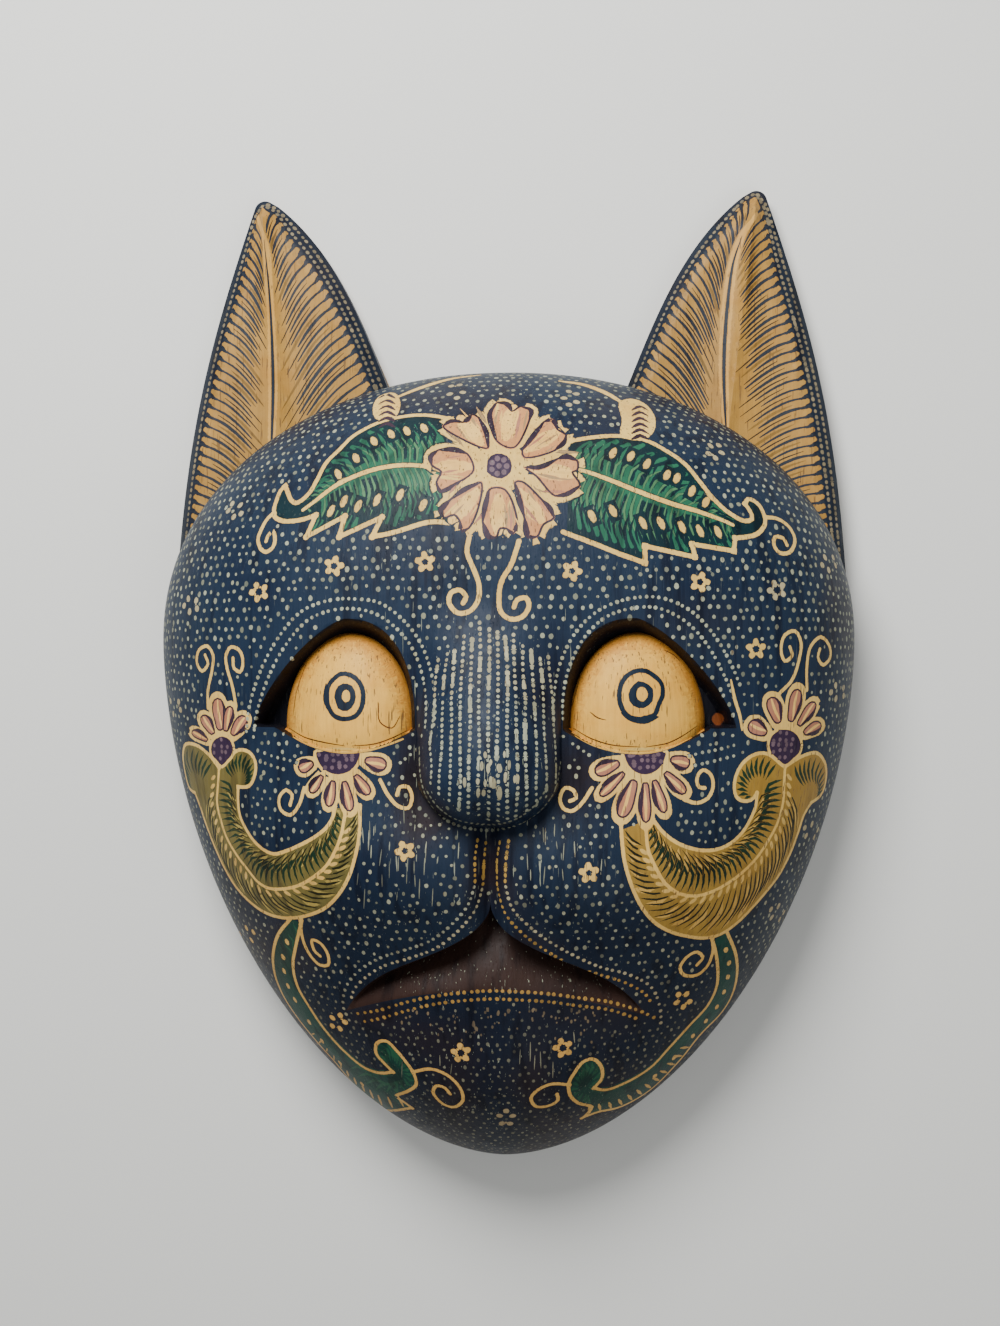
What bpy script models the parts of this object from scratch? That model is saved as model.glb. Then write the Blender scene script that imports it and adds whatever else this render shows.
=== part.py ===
"""Carved wooden cat mask: one piece of light wood, a domed face hollowed from behind, with two ears.

Metres, +Z up. The mask lies on its flat back with the face up, and +Y points from chin to ears.
The origin is the middle of its footprint, on the plane that the rim rests on.
"""

import math

import bmesh
import bpy
import numpy as np
from mathutils import Vector
from mathutils.geometry import delaunay_2d_cdt

# Overall sizes
LENGTH = 0.250
FACE_LENGTH = 0.202
FACE_WIDTH = 0.179

# The dome, and the hollow behind it
CROWN_HEIGHT = 0.060
BELT_HEIGHT = 0.010
BELT_TUCK = 0.0018
RIM_WIDTH = 0.011
WALL_BEHIND_CARVING = 0.005
DOME_POWER = 2.3
BELT_POWER_ABOVE = 2.1
BELT_POWER_BELOW = 1.8

# Carved features keep their places as shares of the half width (across) and the face length (along)
HALF_WIDTH = FACE_WIDTH / 2
CHIN_Y = -LENGTH / 2
CROWN_Y = CHIN_Y + FACE_LENGTH
CENTRE_Y = CHIN_Y + 0.659 * FACE_LENGTH
CARVING_FADE = 0.25

NOSE_TOP_Y = CENTRE_Y + 0.055 * FACE_LENGTH
NOSE_TIP_Y = CENTRE_Y - 0.158 * FACE_LENGTH
NOSE_HALF_WIDTH = 0.192 * HALF_WIDTH
NOSE_DROP = 0.065 * FACE_LENGTH
NOSE_HEIGHT = 0.014
NOSE_TIP_ROUNDNESS = 0.5
NOSE_TOP_ROUNDNESS = 1.6

CHEEK_X = 0.50 * HALF_WIDTH
CHEEK_Y = CENTRE_Y - 0.27 * FACE_LENGTH
CHEEK_SIZE = 0.26 * HALF_WIDTH
CHEEK_HEIGHT = 0.004

MUZZLE_X = 0.19 * HALF_WIDTH
MUZZLE_Y = CENTRE_Y - 0.288 * FACE_LENGTH
MUZZLE_WIDE = 0.23 * HALF_WIDTH
MUZZLE_HIGH = 0.075 * FACE_LENGTH
MUZZLE_HEIGHT = 0.0055
LIP_GROOVE_DEPTH = 0.0035
LIP_GROOVE_WIDTH = 0.030 * HALF_WIDTH

CHIN_BALL_Y = CENTRE_Y - 0.535 * FACE_LENGTH
CHIN_BALL_WIDE = 0.24 * HALF_WIDTH
CHIN_BALL_HIGH = 0.07 * FACE_LENGTH
CHIN_BALL_HEIGHT = 0.0025

EYE_X = 0.387 * HALF_WIDTH
EYE_Y = CENTRE_Y - 0.107 * FACE_LENGTH
BALL_WIDE = 0.182 * HALF_WIDTH
BALL_HIGH = 0.113 * FACE_LENGTH
BALL_LOW = 0.055 * FACE_LENGTH
SOCKET_OUTER = 0.264 * HALF_WIDTH
SOCKET_INNER = 0.192 * HALF_WIDTH
SOCKET_HIGH = 0.129 * FACE_LENGTH
OUTER_POWER = 1.35
INNER_POWER = 2.4
SOCKET_DEPTH = 0.008
SOCKET_WALL = 0.0024
BALL_PROUD = 0.001
LID_SAG = 0.028 * FACE_LENGTH
LID_WALL = 0.0008
LID_HALF_WIDTH = 0.197 * HALF_WIDTH
BALL_SHOULDER = 0.86

MOUTH_HALF_WIDTH = 0.411 * HALF_WIDTH
MOUTH_TOP_Y = CENTRE_Y - 0.313 * FACE_LENGTH
MOUTH_LOW_Y = CENTRE_Y - 0.419 * FACE_LENGTH
MOUTH_FALL = 0.1406 * FACE_LENGTH
MOUTH_LOW_FALL = MOUTH_TOP_Y - MOUTH_FALL - MOUTH_LOW_Y
MOUTH_DEPTH = 0.009
MOUTH_OPEN_FULL = 0.060 * FACE_LENGTH
MOUTH_FLOOR_POWER = 1.2
LIP_BOW = 0.70
LIP_WALL = 0.001

CROWN_WALL = max(SOCKET_DEPTH, MOUTH_DEPTH) + WALL_BEHIND_CARVING

# Ears, one on each side of the head
EAR_TIP_X = 0.743 * HALF_WIDTH
EAR_TIP_ROUND = 0.0028
EAR_ROOT_LOW = 0.066
EAR_ROOT_HIGH = 1.125
EAR_VEIN_ROOT = 0.70
EAR_ROOT_DEPTH = 0.55 * RIM_WIDTH
EAR_OUTER_SINK = 0.0008
EAR_OUTER_BULGE = 0.0047
EAR_INNER_BULGE = 0.0056
EAR_INNER_SKEW = 0.75
EAR_BACK_Z = 0.002
EAR_ROOT_THICK = 0.0115
EAR_TIP_THICK = 0.0075
EAR_EDGE_ROUND = 0.006
EAR_EDGE_DROP = 0.6 * EAR_TIP_THICK
EAR_HOLLOW = 0.0014

# How finely the solid is faceted
FACE_GRID = 0.0046
EAR_GRID = 0.0062
RIM_POINTS = 104
CLEAR_OF_LINES = 0.55
HOLLOW_RINGS = 9

DYED_WOOD = (0.028, 0.048, 0.105, 1.0)


def clear_scene():
    """Removes every object that the file opens with."""
    for thing in list(bpy.data.objects):
        bpy.data.objects.remove(thing, do_unlink=True)


def smooth(share):
    """0 below 0, 1 above 1, and an even rise between."""
    share = min(1.0, max(0.0, share))
    return share * share * (3 - 2 * share)


def bell(x, y, wide, high):
    return math.exp(-((x / wide) ** 2) - (y / high) ** 2)


def belt_radius(angle):
    """The face's outline in plan: how far its widest line is from the dome's centre."""
    above = math.sin(angle) > 0
    reach = CROWN_Y - CENTRE_Y if above else CENTRE_Y - CHIN_Y
    power = BELT_POWER_ABOVE if above else BELT_POWER_BELOW
    across = abs(math.cos(angle) / HALF_WIDTH) ** power
    along = abs(math.sin(angle) / reach) ** power
    return (across + along) ** (-1 / power)


def dome_profile():
    """The dome's section from crown to rim: the length along its skin, its share of the plan, its height."""
    turn = np.linspace(0, math.pi / 2, 120)
    share = np.sin(turn)
    rise = BELT_HEIGHT + (CROWN_HEIGHT - BELT_HEIGHT) * (1 - share**DOME_POWER) ** (1 / DOME_POWER)
    below = np.linspace(0, 1, 12)[1:]
    share = np.append(share, 1 - BELT_TUCK / HALF_WIDTH * below**2)
    rise = np.append(rise, BELT_HEIGHT * (1 - below))
    steps = np.hypot(np.diff(share), np.diff(rise) / HALF_WIDTH)
    return np.append(0, np.cumsum(steps)), share, rise


SKIN, PLAN, RISE = dome_profile()
BELT_AT = SKIN[np.argmax(PLAN)]


def nose(x, y):
    """A ridge that widens and rises from between the brows to a round, sharply cut tip."""
    if y < NOSE_TIP_Y:
        edge = math.hypot(x / NOSE_HALF_WIDTH, (y - NOSE_TIP_Y) / NOSE_DROP)
    else:
        edge = abs(x) / NOSE_HALF_WIDTH
    if edge >= 1:
        return 0.0
    up = min(1.0, max(0.0, (y - NOSE_TIP_Y) / (NOSE_TOP_Y - NOSE_TIP_Y)))
    roundness = NOSE_TIP_ROUNDNESS + (NOSE_TOP_ROUNDNESS - NOSE_TIP_ROUNDNESS) * up
    return NOSE_HEIGHT * smooth(1 - up) * (1 - edge * edge) ** roundness


def soft_forms(x, y):
    """Cheeks, upper lip pads, the groove between them and the ball of the chin."""
    side = abs(x)
    height = CHEEK_HEIGHT * bell(side - CHEEK_X, y - CHEEK_Y, CHEEK_SIZE, CHEEK_SIZE)
    height += MUZZLE_HEIGHT * bell(side - MUZZLE_X, y - MUZZLE_Y, MUZZLE_WIDE, MUZZLE_HIGH)
    height += CHIN_BALL_HEIGHT * bell(x, y - CHIN_BALL_Y, CHIN_BALL_WIDE, CHIN_BALL_HIGH)
    along = smooth((NOSE_TIP_Y - y) / NOSE_DROP) * smooth((y - MOUTH_LOW_Y) / (MOUTH_TOP_Y - MOUTH_LOW_Y))
    return height - LIP_GROOVE_DEPTH * along * math.exp(-((x / LIP_GROOVE_WIDTH) ** 2))


def lid_line(out):
    """How far the lower lid sags below the corners of the eye, at a distance out from its middle."""
    return -LID_SAG * max(0.0, 1 - (out / LID_HALF_WIDTH) ** 2)


def socket_share(out, up):
    """0 at the middle of the eye socket and 1 on its rim. Its outer corner is pulled to a point."""
    wide, power = (SOCKET_OUTER, OUTER_POWER) if out > 0 else (SOCKET_INNER, INNER_POWER)
    return ((abs(out) / wide) ** power + (max(up, 0) / SOCKET_HIGH) ** power) ** (1 / power)


def ball_share(out, up):
    """0 at the middle of the eyeball and 1 on its edge."""
    high = BALL_HIGH if up > 0 else BALL_LOW
    return math.hypot(out / BALL_WIDE, up / high)


def eye(x, y):
    """The socket's depth and the eyeball that fills it, against the face round them."""
    out, up = abs(x) - EYE_X, y - EYE_Y
    above_lid = up - lid_line(out)
    rim = socket_share(out, up)
    if rim >= 1 or above_lid <= 0:
        return 0.0
    floor = -SOCKET_DEPTH * smooth((1 - rim) * SOCKET_INNER / SOCKET_WALL) * smooth(above_lid / LID_WALL)
    edge = ball_share(out, up)
    if edge >= 1:
        return floor
    return max(floor, (SOCKET_DEPTH + BALL_PROUD) * math.sqrt(1 - edge * edge) - SOCKET_DEPTH)


def lip_line(x):
    """The lower edge of the upper lip, which falls from the peak under the nose to the corners."""
    share = min(1.0, abs(x) / MOUTH_HALF_WIDTH)
    return MOUTH_TOP_Y - MOUTH_FALL * (LIP_BOW * share**0.5 + (1 - LIP_BOW) * share**6)


def low_line(x):
    """Where the floor of the mouth comes back out to the chin."""
    return MOUTH_LOW_Y + MOUTH_LOW_FALL * min(1.0, abs(x) / MOUTH_HALF_WIDTH) ** 2


def mouth(x, y):
    """The mouth's floor, deepest under the lip and rising towards the chin."""
    top, low = lip_line(x), low_line(x)
    if abs(x) >= MOUTH_HALF_WIDTH or not low < y < top:
        return 0.0
    depth = MOUTH_DEPTH * smooth((top - low) / MOUTH_OPEN_FULL)
    return -depth * ((y - low) / (top - low)) ** MOUTH_FLOOR_POWER * smooth((top - y) / LIP_WALL)


def relief(x, y):
    return nose(x, y) + soft_forms(x, y) + eye(x, y) + mouth(x, y)


def lift(spot):
    """The place on the face of a point of the skin laid out flat."""
    across, along = spot[0], spot[1] - CENTRE_Y
    angle = math.atan2(along, across)
    belt = belt_radius(angle)
    skin = math.hypot(across, along) / belt
    reach = belt * float(np.interp(skin, SKIN, PLAN))
    x, y = reach * math.cos(angle), CENTRE_Y + reach * math.sin(angle)
    carved = relief(x, y) * smooth((BELT_AT - skin) / (CARVING_FADE * BELT_AT))
    return Vector((x, y, float(np.interp(skin, SKIN, RISE)) + carved))


def unroll(x, y):
    """The point of the flat skin for a place in plan inside the belt."""
    angle = math.atan2(y - CENTRE_Y, x)
    belt = belt_radius(angle)
    inside = SKIN <= BELT_AT
    skin = float(np.interp(math.hypot(x, y - CENTRE_Y) / belt, PLAN[inside], SKIN[inside]))
    return Vector((belt * skin * math.cos(angle), CENTRE_Y + belt * skin * math.sin(angle)))


def between(start, end, share):
    """The value or the point at a share of the way from start to end."""
    return start + (end - start) * share


def arch_point(turn, share, ball):
    """A point on the eyeball's edge or the socket's rim, shrunk by share, at a turn from the outer corner."""
    wide, high, power = BALL_WIDE, BALL_HIGH, 2
    if not ball:
        high = SOCKET_HIGH
        wide, power = (SOCKET_OUTER, OUTER_POWER) if math.cos(turn) > 0 else (SOCKET_INNER, INNER_POWER)
    out = wide * math.copysign(abs(math.cos(turn)) ** (2 / power), math.cos(turn))
    return share * out, share * high * max(0.0, math.sin(turn)) ** (2 / power)


def eye_edges(side):
    """The carved lines of one eye: socket rim, foot of its wall, eyeball edge, and the lower lid."""
    foot = 1 - SOCKET_WALL / SOCKET_INNER
    clear_of_wall = foot - 0.03
    lines = []
    for share, ball in ((1.0, False), (foot, False), (1.0, True), (BALL_SHOULDER, True)):
        arch = [arch_point(turn, share, ball) for turn in np.linspace(0, math.pi, 19)]
        if ball:
            arch = [(out, up) for out, up in arch if socket_share(out, up) < clear_of_wall]
        lines.append(arch)
    for lower in (0.0, LID_WALL):
        lines.append([(out, lid_line(out) + lower) for out in np.linspace(-SOCKET_INNER, SOCKET_OUTER, 13)])
    return [[unroll(side * (EYE_X + out), EYE_Y + up) for out, up in line] for line in lines]


def nose_edges():
    """The foot of the nose, and a line just up its side."""
    lines = []
    top_y = between(NOSE_TIP_Y, NOSE_TOP_Y, 0.55)
    for share in (1.0, 0.88):
        wide, drop = share * NOSE_HALF_WIDTH, share * NOSE_DROP
        turns = np.linspace(math.pi, 2 * math.pi, 15)
        tip = [(wide * math.cos(turn), NOSE_TIP_Y + drop * math.sin(turn)) for turn in turns]
        left = [(-wide, y) for y in np.linspace(top_y, NOSE_TIP_Y, 7)]
        right = [(-x, y) for x, y in reversed(left)]
        lines.append(left[:-1] + tip + right[1:])
    return [[unroll(x, y) for x, y in line] for line in lines]


def mouth_edges():
    """The lip's edge, the foot of its wall and the line where the floor comes out on the chin."""
    across = [
        math.copysign(abs(share) ** 1.3, share) * MOUTH_HALF_WIDTH for share in np.linspace(-1, 1, 31)
    ]
    lip = [(x, lip_line(x)) for x in across]
    foot = [(x, y - LIP_WALL) for x, y in lip if y - low_line(x) > 3 * LIP_WALL]
    low = [(x, low_line(x)) for x in across[1:-1]]
    return [[unroll(x, y) for x, y in line] for line in (lip, foot, low)]


def groove_edges():
    """The bottom of the groove between the lip pads, and its two sides."""
    top_y = NOSE_TIP_Y - 1.08 * NOSE_DROP
    lines = []
    for x in (-1.3 * LIP_GROOVE_WIDTH, 0.0, 1.3 * LIP_GROOVE_WIDTH):
        low_y = lip_line(x) + 0.5 * LIP_GROOVE_WIDTH
        lines.append([unroll(x, y) for y in np.linspace(top_y, low_y, 6)])
    return lines


def triangulate(outline, lines, grid):
    """Points and triangles over a flat outline, along the given lines and an even grid between them."""
    points = [Vector(spot) for spot in outline]
    edges = []
    for line in lines:
        first = len(points)
        points += [Vector(spot) for spot in line]
        edges += [(first + at, first + at + 1) for at in range(len(line) - 1)]
    low = [min(spot[axis] for spot in outline) for axis in (0, 1)]
    high = [max(spot[axis] for spot in outline) for axis in (0, 1)]
    middle = (low[0] + high[0]) / 2
    row_gap = grid * math.sqrt(3) / 2
    half_count = int((high[0] - low[0]) / grid / 2) + 1
    near = np.array([tuple(spot) for line in (outline, *lines) for spot in line])
    for row in range(1, int((high[1] - low[1]) / row_gap) + 1):
        y = low[1] + row * row_gap
        for column in range(-half_count, half_count + 1):
            x = middle + (column + row % 2 / 2) * grid
            if np.hypot(near[:, 0] - x, near[:, 1] - y).min() > CLEAR_OF_LINES * grid:
                points.append(Vector((x, y)))
    inside_only = 1
    whole = [list(range(len(outline)))]
    made = delaunay_2d_cdt(points, edges, whole, inside_only, 1e-7, True)
    return made[0], [corners for corners, within in zip(made[2], made[5]) if within]


def surface(points, triangles, place):
    """A bmesh of the triangles with each flat point moved to place(point), facing up."""
    bm = bmesh.new()
    corners = [bm.verts.new(place(spot)) for spot in points]
    for triangle in triangles:
        bm.faces.new([corners[at] for at in triangle])
    bmesh.ops.recalc_face_normals(bm, faces=bm.faces)
    if sum(face.normal.z for face in bm.faces) < 0:
        bmesh.ops.reverse_faces(bm, faces=bm.faces)
    return bm


def extrude_border(bm, border, place):
    """Extrudes an open border and moves each new vertex to place(old vertex)."""
    grown = bmesh.ops.extrude_edge_only(bm, edges=border)["geom"]
    for vertex in (part for part in grown if isinstance(part, bmesh.types.BMVert)):
        vertex.co = place(vertex.co.copy())
    return [edge for edge in grown if isinstance(edge, bmesh.types.BMEdge) and edge.is_boundary]


def close_border(bm, border):
    """Fills an open border with one face and turns every face outwards."""
    bmesh.ops.contextual_create(bm, geom=border)
    bmesh.ops.triangulate(bm, faces=[face for face in bm.faces if len(face.verts) > 4])
    bmesh.ops.recalc_face_normals(bm, faces=bm.faces)


def hollow_place(old, share):
    """A point of the hollow's wall, at a share of the way from its mouth to its deepest point."""
    angle = math.atan2(old.y - CENTRE_Y, old.x)
    reach = (belt_radius(angle) - RIM_WIDTH) * math.cos(share * math.pi / 2)
    rise = (CROWN_HEIGHT - CROWN_WALL) * math.sin(share * math.pi / 2) ** (2 / DOME_POWER)
    return Vector((reach * math.cos(angle), CENTRE_Y + reach * math.sin(angle), rise))


def face_body():
    """The face: its carved front, the flat rim and the hollow behind."""
    turns = [2 * math.pi * step / RIM_POINTS for step in range(RIM_POINTS)]
    outline = []
    for turn in turns:
        far = belt_radius(turn) * SKIN[-1]
        outline.append((far * math.cos(turn), CENTRE_Y + far * math.sin(turn)))
    lines = nose_edges() + groove_edges() + mouth_edges() + eye_edges(-1) + eye_edges(1)
    bm = surface(*triangulate(outline, lines, FACE_GRID), lift)
    border = [edge for edge in bm.edges if edge.is_boundary]
    for ring in range(HOLLOW_RINGS):
        border = extrude_border(bm, border, lambda old, ring=ring: hollow_place(old, ring / HOLLOW_RINGS))
    close_border(bm, border)
    return bm


def bowed(start, end, bulge, count, skew=1.0):
    """A bow from start to end, to the right of the way. A skew under 1 brings its widest place forward."""
    way = end - start
    right = Vector((way.y, -way.x)).normalized()
    return [
        between(start, end, step / count) + right * bulge * math.sin(math.pi * (step / count) ** skew)
        for step in range(count + 1)
    ]


def ear_plan():
    """The right ear in plan: its outer edge, round tip and inner edge, and its root inside the head."""

    def belt_point(angle, inset=0.0):
        far = belt_radius(angle) - inset
        return Vector((far * math.cos(angle), CENTRE_Y + far * math.sin(angle)))

    corner = Vector((EAR_TIP_X, LENGTH / 2))
    for _ in range(3):
        outer = bowed(belt_point(EAR_ROOT_LOW, EAR_OUTER_SINK), corner, EAR_OUTER_BULGE, 16)
        inner = bowed(corner, belt_point(EAR_ROOT_HIGH), EAR_INNER_BULGE, 12, EAR_INNER_SKEW)
        way_in = (outer[-2] - corner).normalized()
        way_out = (inner[1] - corner).normalized()
        half = way_in.angle(way_out) / 2
        middle = corner + (way_in + way_out).normalized() * EAR_TIP_ROUND / math.sin(half)
        corner.y += LENGTH / 2 - (middle.y + EAR_TIP_ROUND)
    aim = math.atan2(corner.y - middle.y, corner.x - middle.x)
    turns = np.linspace(aim + half - math.pi / 2, aim - half + math.pi / 2, 9)
    cap = [middle + EAR_TIP_ROUND * Vector((math.cos(turn), math.sin(turn))) for turn in turns]
    straight = 1.1 * EAR_TIP_ROUND / math.tan(half)
    edge = [spot for spot in outer if (spot - corner).length > straight]
    edge += cap + [spot for spot in inner if (spot - corner).length > straight]
    root = [belt_point(turn, EAR_ROOT_DEPTH) for turn in np.linspace(EAR_ROOT_HIGH, EAR_ROOT_LOW, 12)]
    vein_foot = belt_point(EAR_VEIN_ROOT, EAR_ROOT_DEPTH)
    vein = [between(middle, vein_foot, share) for share in np.linspace(0.04, 0.94, 13)]
    return edge, root, vein


def distance_to(line, x, y):
    """The distance from a point to the nearest of a line's pieces."""
    ends = np.array([tuple(spot) for spot in line])
    start, way = ends[:-1], np.diff(ends, axis=0)
    share = ((np.array((x, y)) - start) * way).sum(1) / (way**2).sum(1)
    near = start + np.clip(share, 0, 1)[:, None] * way
    return float(np.hypot(near[:, 0] - x, near[:, 1] - y).min())


def ear_front(edge, vein, x, y):
    """The height of the ear's front: thinner towards the tip, round at its edge, hollow beside its vein."""
    up = (y - edge[0].y) / (LENGTH / 2 - edge[0].y)
    from_edge, from_vein = distance_to(edge, x, y), distance_to(vein, x, y)
    rounding = EAR_EDGE_DROP * (1 - min(1.0, from_edge / EAR_EDGE_ROUND)) ** 2
    between_them = from_edge / max(from_edge + from_vein, 1e-6)
    hollow = EAR_HOLLOW * 4 * between_them * (1 - between_them)
    thick = between(EAR_ROOT_THICK, EAR_TIP_THICK, min(1.0, max(0.0, up)))
    return EAR_BACK_Z + thick - rounding - hollow


def ear_body(side):
    """One ear: a thin plate with a carved front and a flat back, mirrored to its side of the head."""
    edge, root, vein = ear_plan()
    inset = []
    depth = EAR_EDGE_ROUND / 2
    for before, spot, after in zip(edge, edge[1:], edge[2:]):
        way = (after - before).normalized()
        inner = spot + Vector((-way.y, way.x)) * depth
        if distance_to(edge, *inner) > 0.96 * depth:
            inset.append(inner)
    outline = edge + root
    lines = [inset, vein]

    def front(spot):
        return Vector((side * spot[0], spot[1], ear_front(edge, vein, spot[0], spot[1])))

    bm = surface(*triangulate(outline, lines, EAR_GRID), front)
    border = [edge for edge in bm.edges if edge.is_boundary]
    border = extrude_border(bm, border, lambda old: Vector((old.x, old.y, EAR_BACK_Z)))
    close_border(bm, border)
    return bm


def object_from(bm, name, collection):
    mesh = bpy.data.meshes.new(name)
    bm.to_mesh(mesh)
    bm.free()
    made = bpy.data.objects.new(name, mesh)
    collection.objects.link(made)
    return made


def dyed_wood():
    material = bpy.data.materials.new("indigo_dyed_wood")
    material.use_nodes = True
    shader = material.node_tree.nodes["Principled BSDF"]
    shader.inputs["Base Color"].default_value = DYED_WOOD
    shader.inputs["Roughness"].default_value = 0.45
    shader.inputs["Metallic"].default_value = 0.0
    return material


def main():
    clear_scene()
    parts = bpy.data.collections.new("cat_mask")
    cutters = bpy.data.collections.new("joined_in")
    for collection in (parts, cutters):
        bpy.context.scene.collection.children.link(collection)

    mask = object_from(face_body(), "mask", parts)
    for side in (-1, 1):
        ear = object_from(ear_body(side), "ear_left" if side < 0 else "ear_right", cutters)
        ear.hide_render = True
        ear.display_type = "WIRE"
        join = mask.modifiers.new("join_" + ear.name, "BOOLEAN")
        join.operation = "UNION"
        join.solver = "EXACT"
        join.object = ear
    mask.data.materials.append(dyed_wood())
    mask.data.shade_smooth()
    mask.data.set_sharp_from_angle(angle=math.radians(40))


main()
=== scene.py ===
"""The looks of a carved cat mask: light wood, drawn on with wax, dyed indigo, boiled clean and burnished."""

import math

import bpy
import numpy as np
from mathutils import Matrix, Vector
from mathutils.geometry import delaunay_2d_cdt


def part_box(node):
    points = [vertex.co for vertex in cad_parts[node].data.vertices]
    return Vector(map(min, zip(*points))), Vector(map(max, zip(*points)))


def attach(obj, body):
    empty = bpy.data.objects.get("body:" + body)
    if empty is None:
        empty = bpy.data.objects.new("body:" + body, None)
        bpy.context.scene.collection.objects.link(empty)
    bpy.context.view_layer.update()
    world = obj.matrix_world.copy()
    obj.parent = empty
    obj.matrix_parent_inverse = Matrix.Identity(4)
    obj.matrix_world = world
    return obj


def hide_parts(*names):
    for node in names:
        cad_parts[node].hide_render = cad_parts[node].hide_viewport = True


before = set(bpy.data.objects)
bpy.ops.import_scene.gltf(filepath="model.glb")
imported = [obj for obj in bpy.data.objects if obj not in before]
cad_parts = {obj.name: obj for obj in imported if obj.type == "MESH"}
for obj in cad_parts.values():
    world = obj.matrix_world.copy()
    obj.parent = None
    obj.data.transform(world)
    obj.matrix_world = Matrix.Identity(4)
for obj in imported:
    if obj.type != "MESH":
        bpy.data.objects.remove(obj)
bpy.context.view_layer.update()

# The view: the camera looks down on the lying mask from half a metre, leaning a little to its right.
# A pixel of the photograph, counted from its top left corner, is a line of sight from this camera.
PHOTO_WIDE, PHOTO_HIGH = 1000, 1326
AIM = np.array((-0.00075, 0.0020, 0.0200))
VIEW_LEAN = math.radians(5)
VIEW_DISTANCE = 0.490
METRES_A_PIXEL = 0.0002557
FOCUS = VIEW_DISTANCE / METRES_A_PIXEL
FILM_HIGH = 24.0

to_camera = np.array((math.sin(VIEW_LEAN), 0.0, math.cos(VIEW_LEAN)))
to_right = np.array((math.cos(VIEW_LEAN), 0.0, -math.sin(VIEW_LEAN)))
to_top = np.array((0.0, 1.0, 0.0))
eye_place = AIM + VIEW_DISTANCE * to_camera

bpy.ops.object.select_all(action="DESELECT")
bpy.ops.object.camera_add(location=eye_place, rotation=(0, VIEW_LEAN, 0))
camera = bpy.context.object
camera.data.sensor_fit = "VERTICAL"
camera.data.sensor_height = FILM_HIGH
camera.data.lens = FOCUS / PHOTO_HIGH * FILM_HIGH
camera.data.clip_start = 0.01
bpy.context.scene.camera = camera


def seen_at(places):
    """The pixels at which places in the scene are seen."""
    way = places - eye_place
    depth = -(way @ to_camera)
    across = PHOTO_WIDE / 2 + FOCUS * (way @ to_right) / depth
    return np.stack((across, PHOTO_HIGH / 2 - FOCUS * (way @ to_top) / depth), axis=-1)


def sight_line(pixels, height):
    """Where the lines of sight of pixels pass through a height."""
    ways = (
        -to_camera * FOCUS
        + np.multiply.outer(pixels[:, 0] - PHOTO_WIDE / 2, to_right)
        + np.multiply.outer(PHOTO_HIGH / 2 - pixels[:, 1], to_top)
    )
    return eye_place + ways * ((height - eye_place[2]) / ways[:, 2])[:, None]


# The floor and the light: a plain pale sheet under the mask, one broad soft lamp above its forehead,
# a wider, weaker one from beyond its chin at the right, and an even pale room.
FLOOR_SIZE = 6.0
FLOOR_COLOUR = (0.80, 0.80, 0.76, 1)
LAMPS = (
    ("top_lamp", (-0.13, 0.40, 0.50), 0.34, 6.4),
    ("side_lamp", (0.5, -0.5, 1.0), 0.9, 3.4),
)
ROOM_LIGHT = 0.30

bpy.ops.mesh.primitive_plane_add(size=FLOOR_SIZE, location=(0, 0, -0.0002))
floor = bpy.context.object
floor.name = "floor"
floor.data.name = "floor"
bpy.ops.object.transform_apply(location=True, rotation=True, scale=True)
sheet = bpy.data.materials.new("pale_sheet")
sheet.use_nodes = True
finish = sheet.node_tree.nodes["Principled BSDF"].inputs
finish["Base Color"].default_value = FLOOR_COLOUR
finish["Roughness"].default_value = 0.9
finish["Specular IOR Level"].default_value = 0.2
floor.data.materials.append(sheet)

for name, place, size, power in LAMPS:
    bpy.ops.object.light_add(type="AREA", location=place)
    lamp = bpy.context.object
    lamp.name = name
    lamp.data.shape = "DISK"
    lamp.data.size = size
    lamp.data.energy = power
    lamp.rotation_euler = (-Vector(place)).to_track_quat("-Z", "Y").to_euler()

room = bpy.data.worlds.new("room")
room.use_nodes = True
room.node_tree.nodes["Background"].inputs["Color"].default_value = (0.95, 0.97, 1.0, 1)
room.node_tree.nodes["Background"].inputs["Strength"].default_value = ROOM_LIGHT
bpy.context.scene.world = room

# The face: one block of light wood, carved to a dome with eyes, nose, muzzle and mouth.
# Its form is the solid's, worked out again from the solid's own box, so that it lies in the same place.
low_corner, high_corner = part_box("mask")
LENGTH = high_corner[1] - low_corner[1]
FACE_LENGTH = 0.808 * LENGTH
HALF_WIDTH = (high_corner[0] - low_corner[0]) / 2
CROWN_HEIGHT = 0.060
BELT_HEIGHT = 0.010
BELT_TUCK = 0.0018
DOME_POWER = 2.3
BELT_POWER_ABOVE = 2.1
BELT_POWER_BELOW = 1.8
CHIN_Y = low_corner[1]
CROWN_Y = CHIN_Y + FACE_LENGTH
CENTRE_Y = CHIN_Y + 0.659 * FACE_LENGTH
CARVING_FADE = 0.25
SIGHT_STEP = 0.006
SIGHT_REACH = 0.0002

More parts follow.
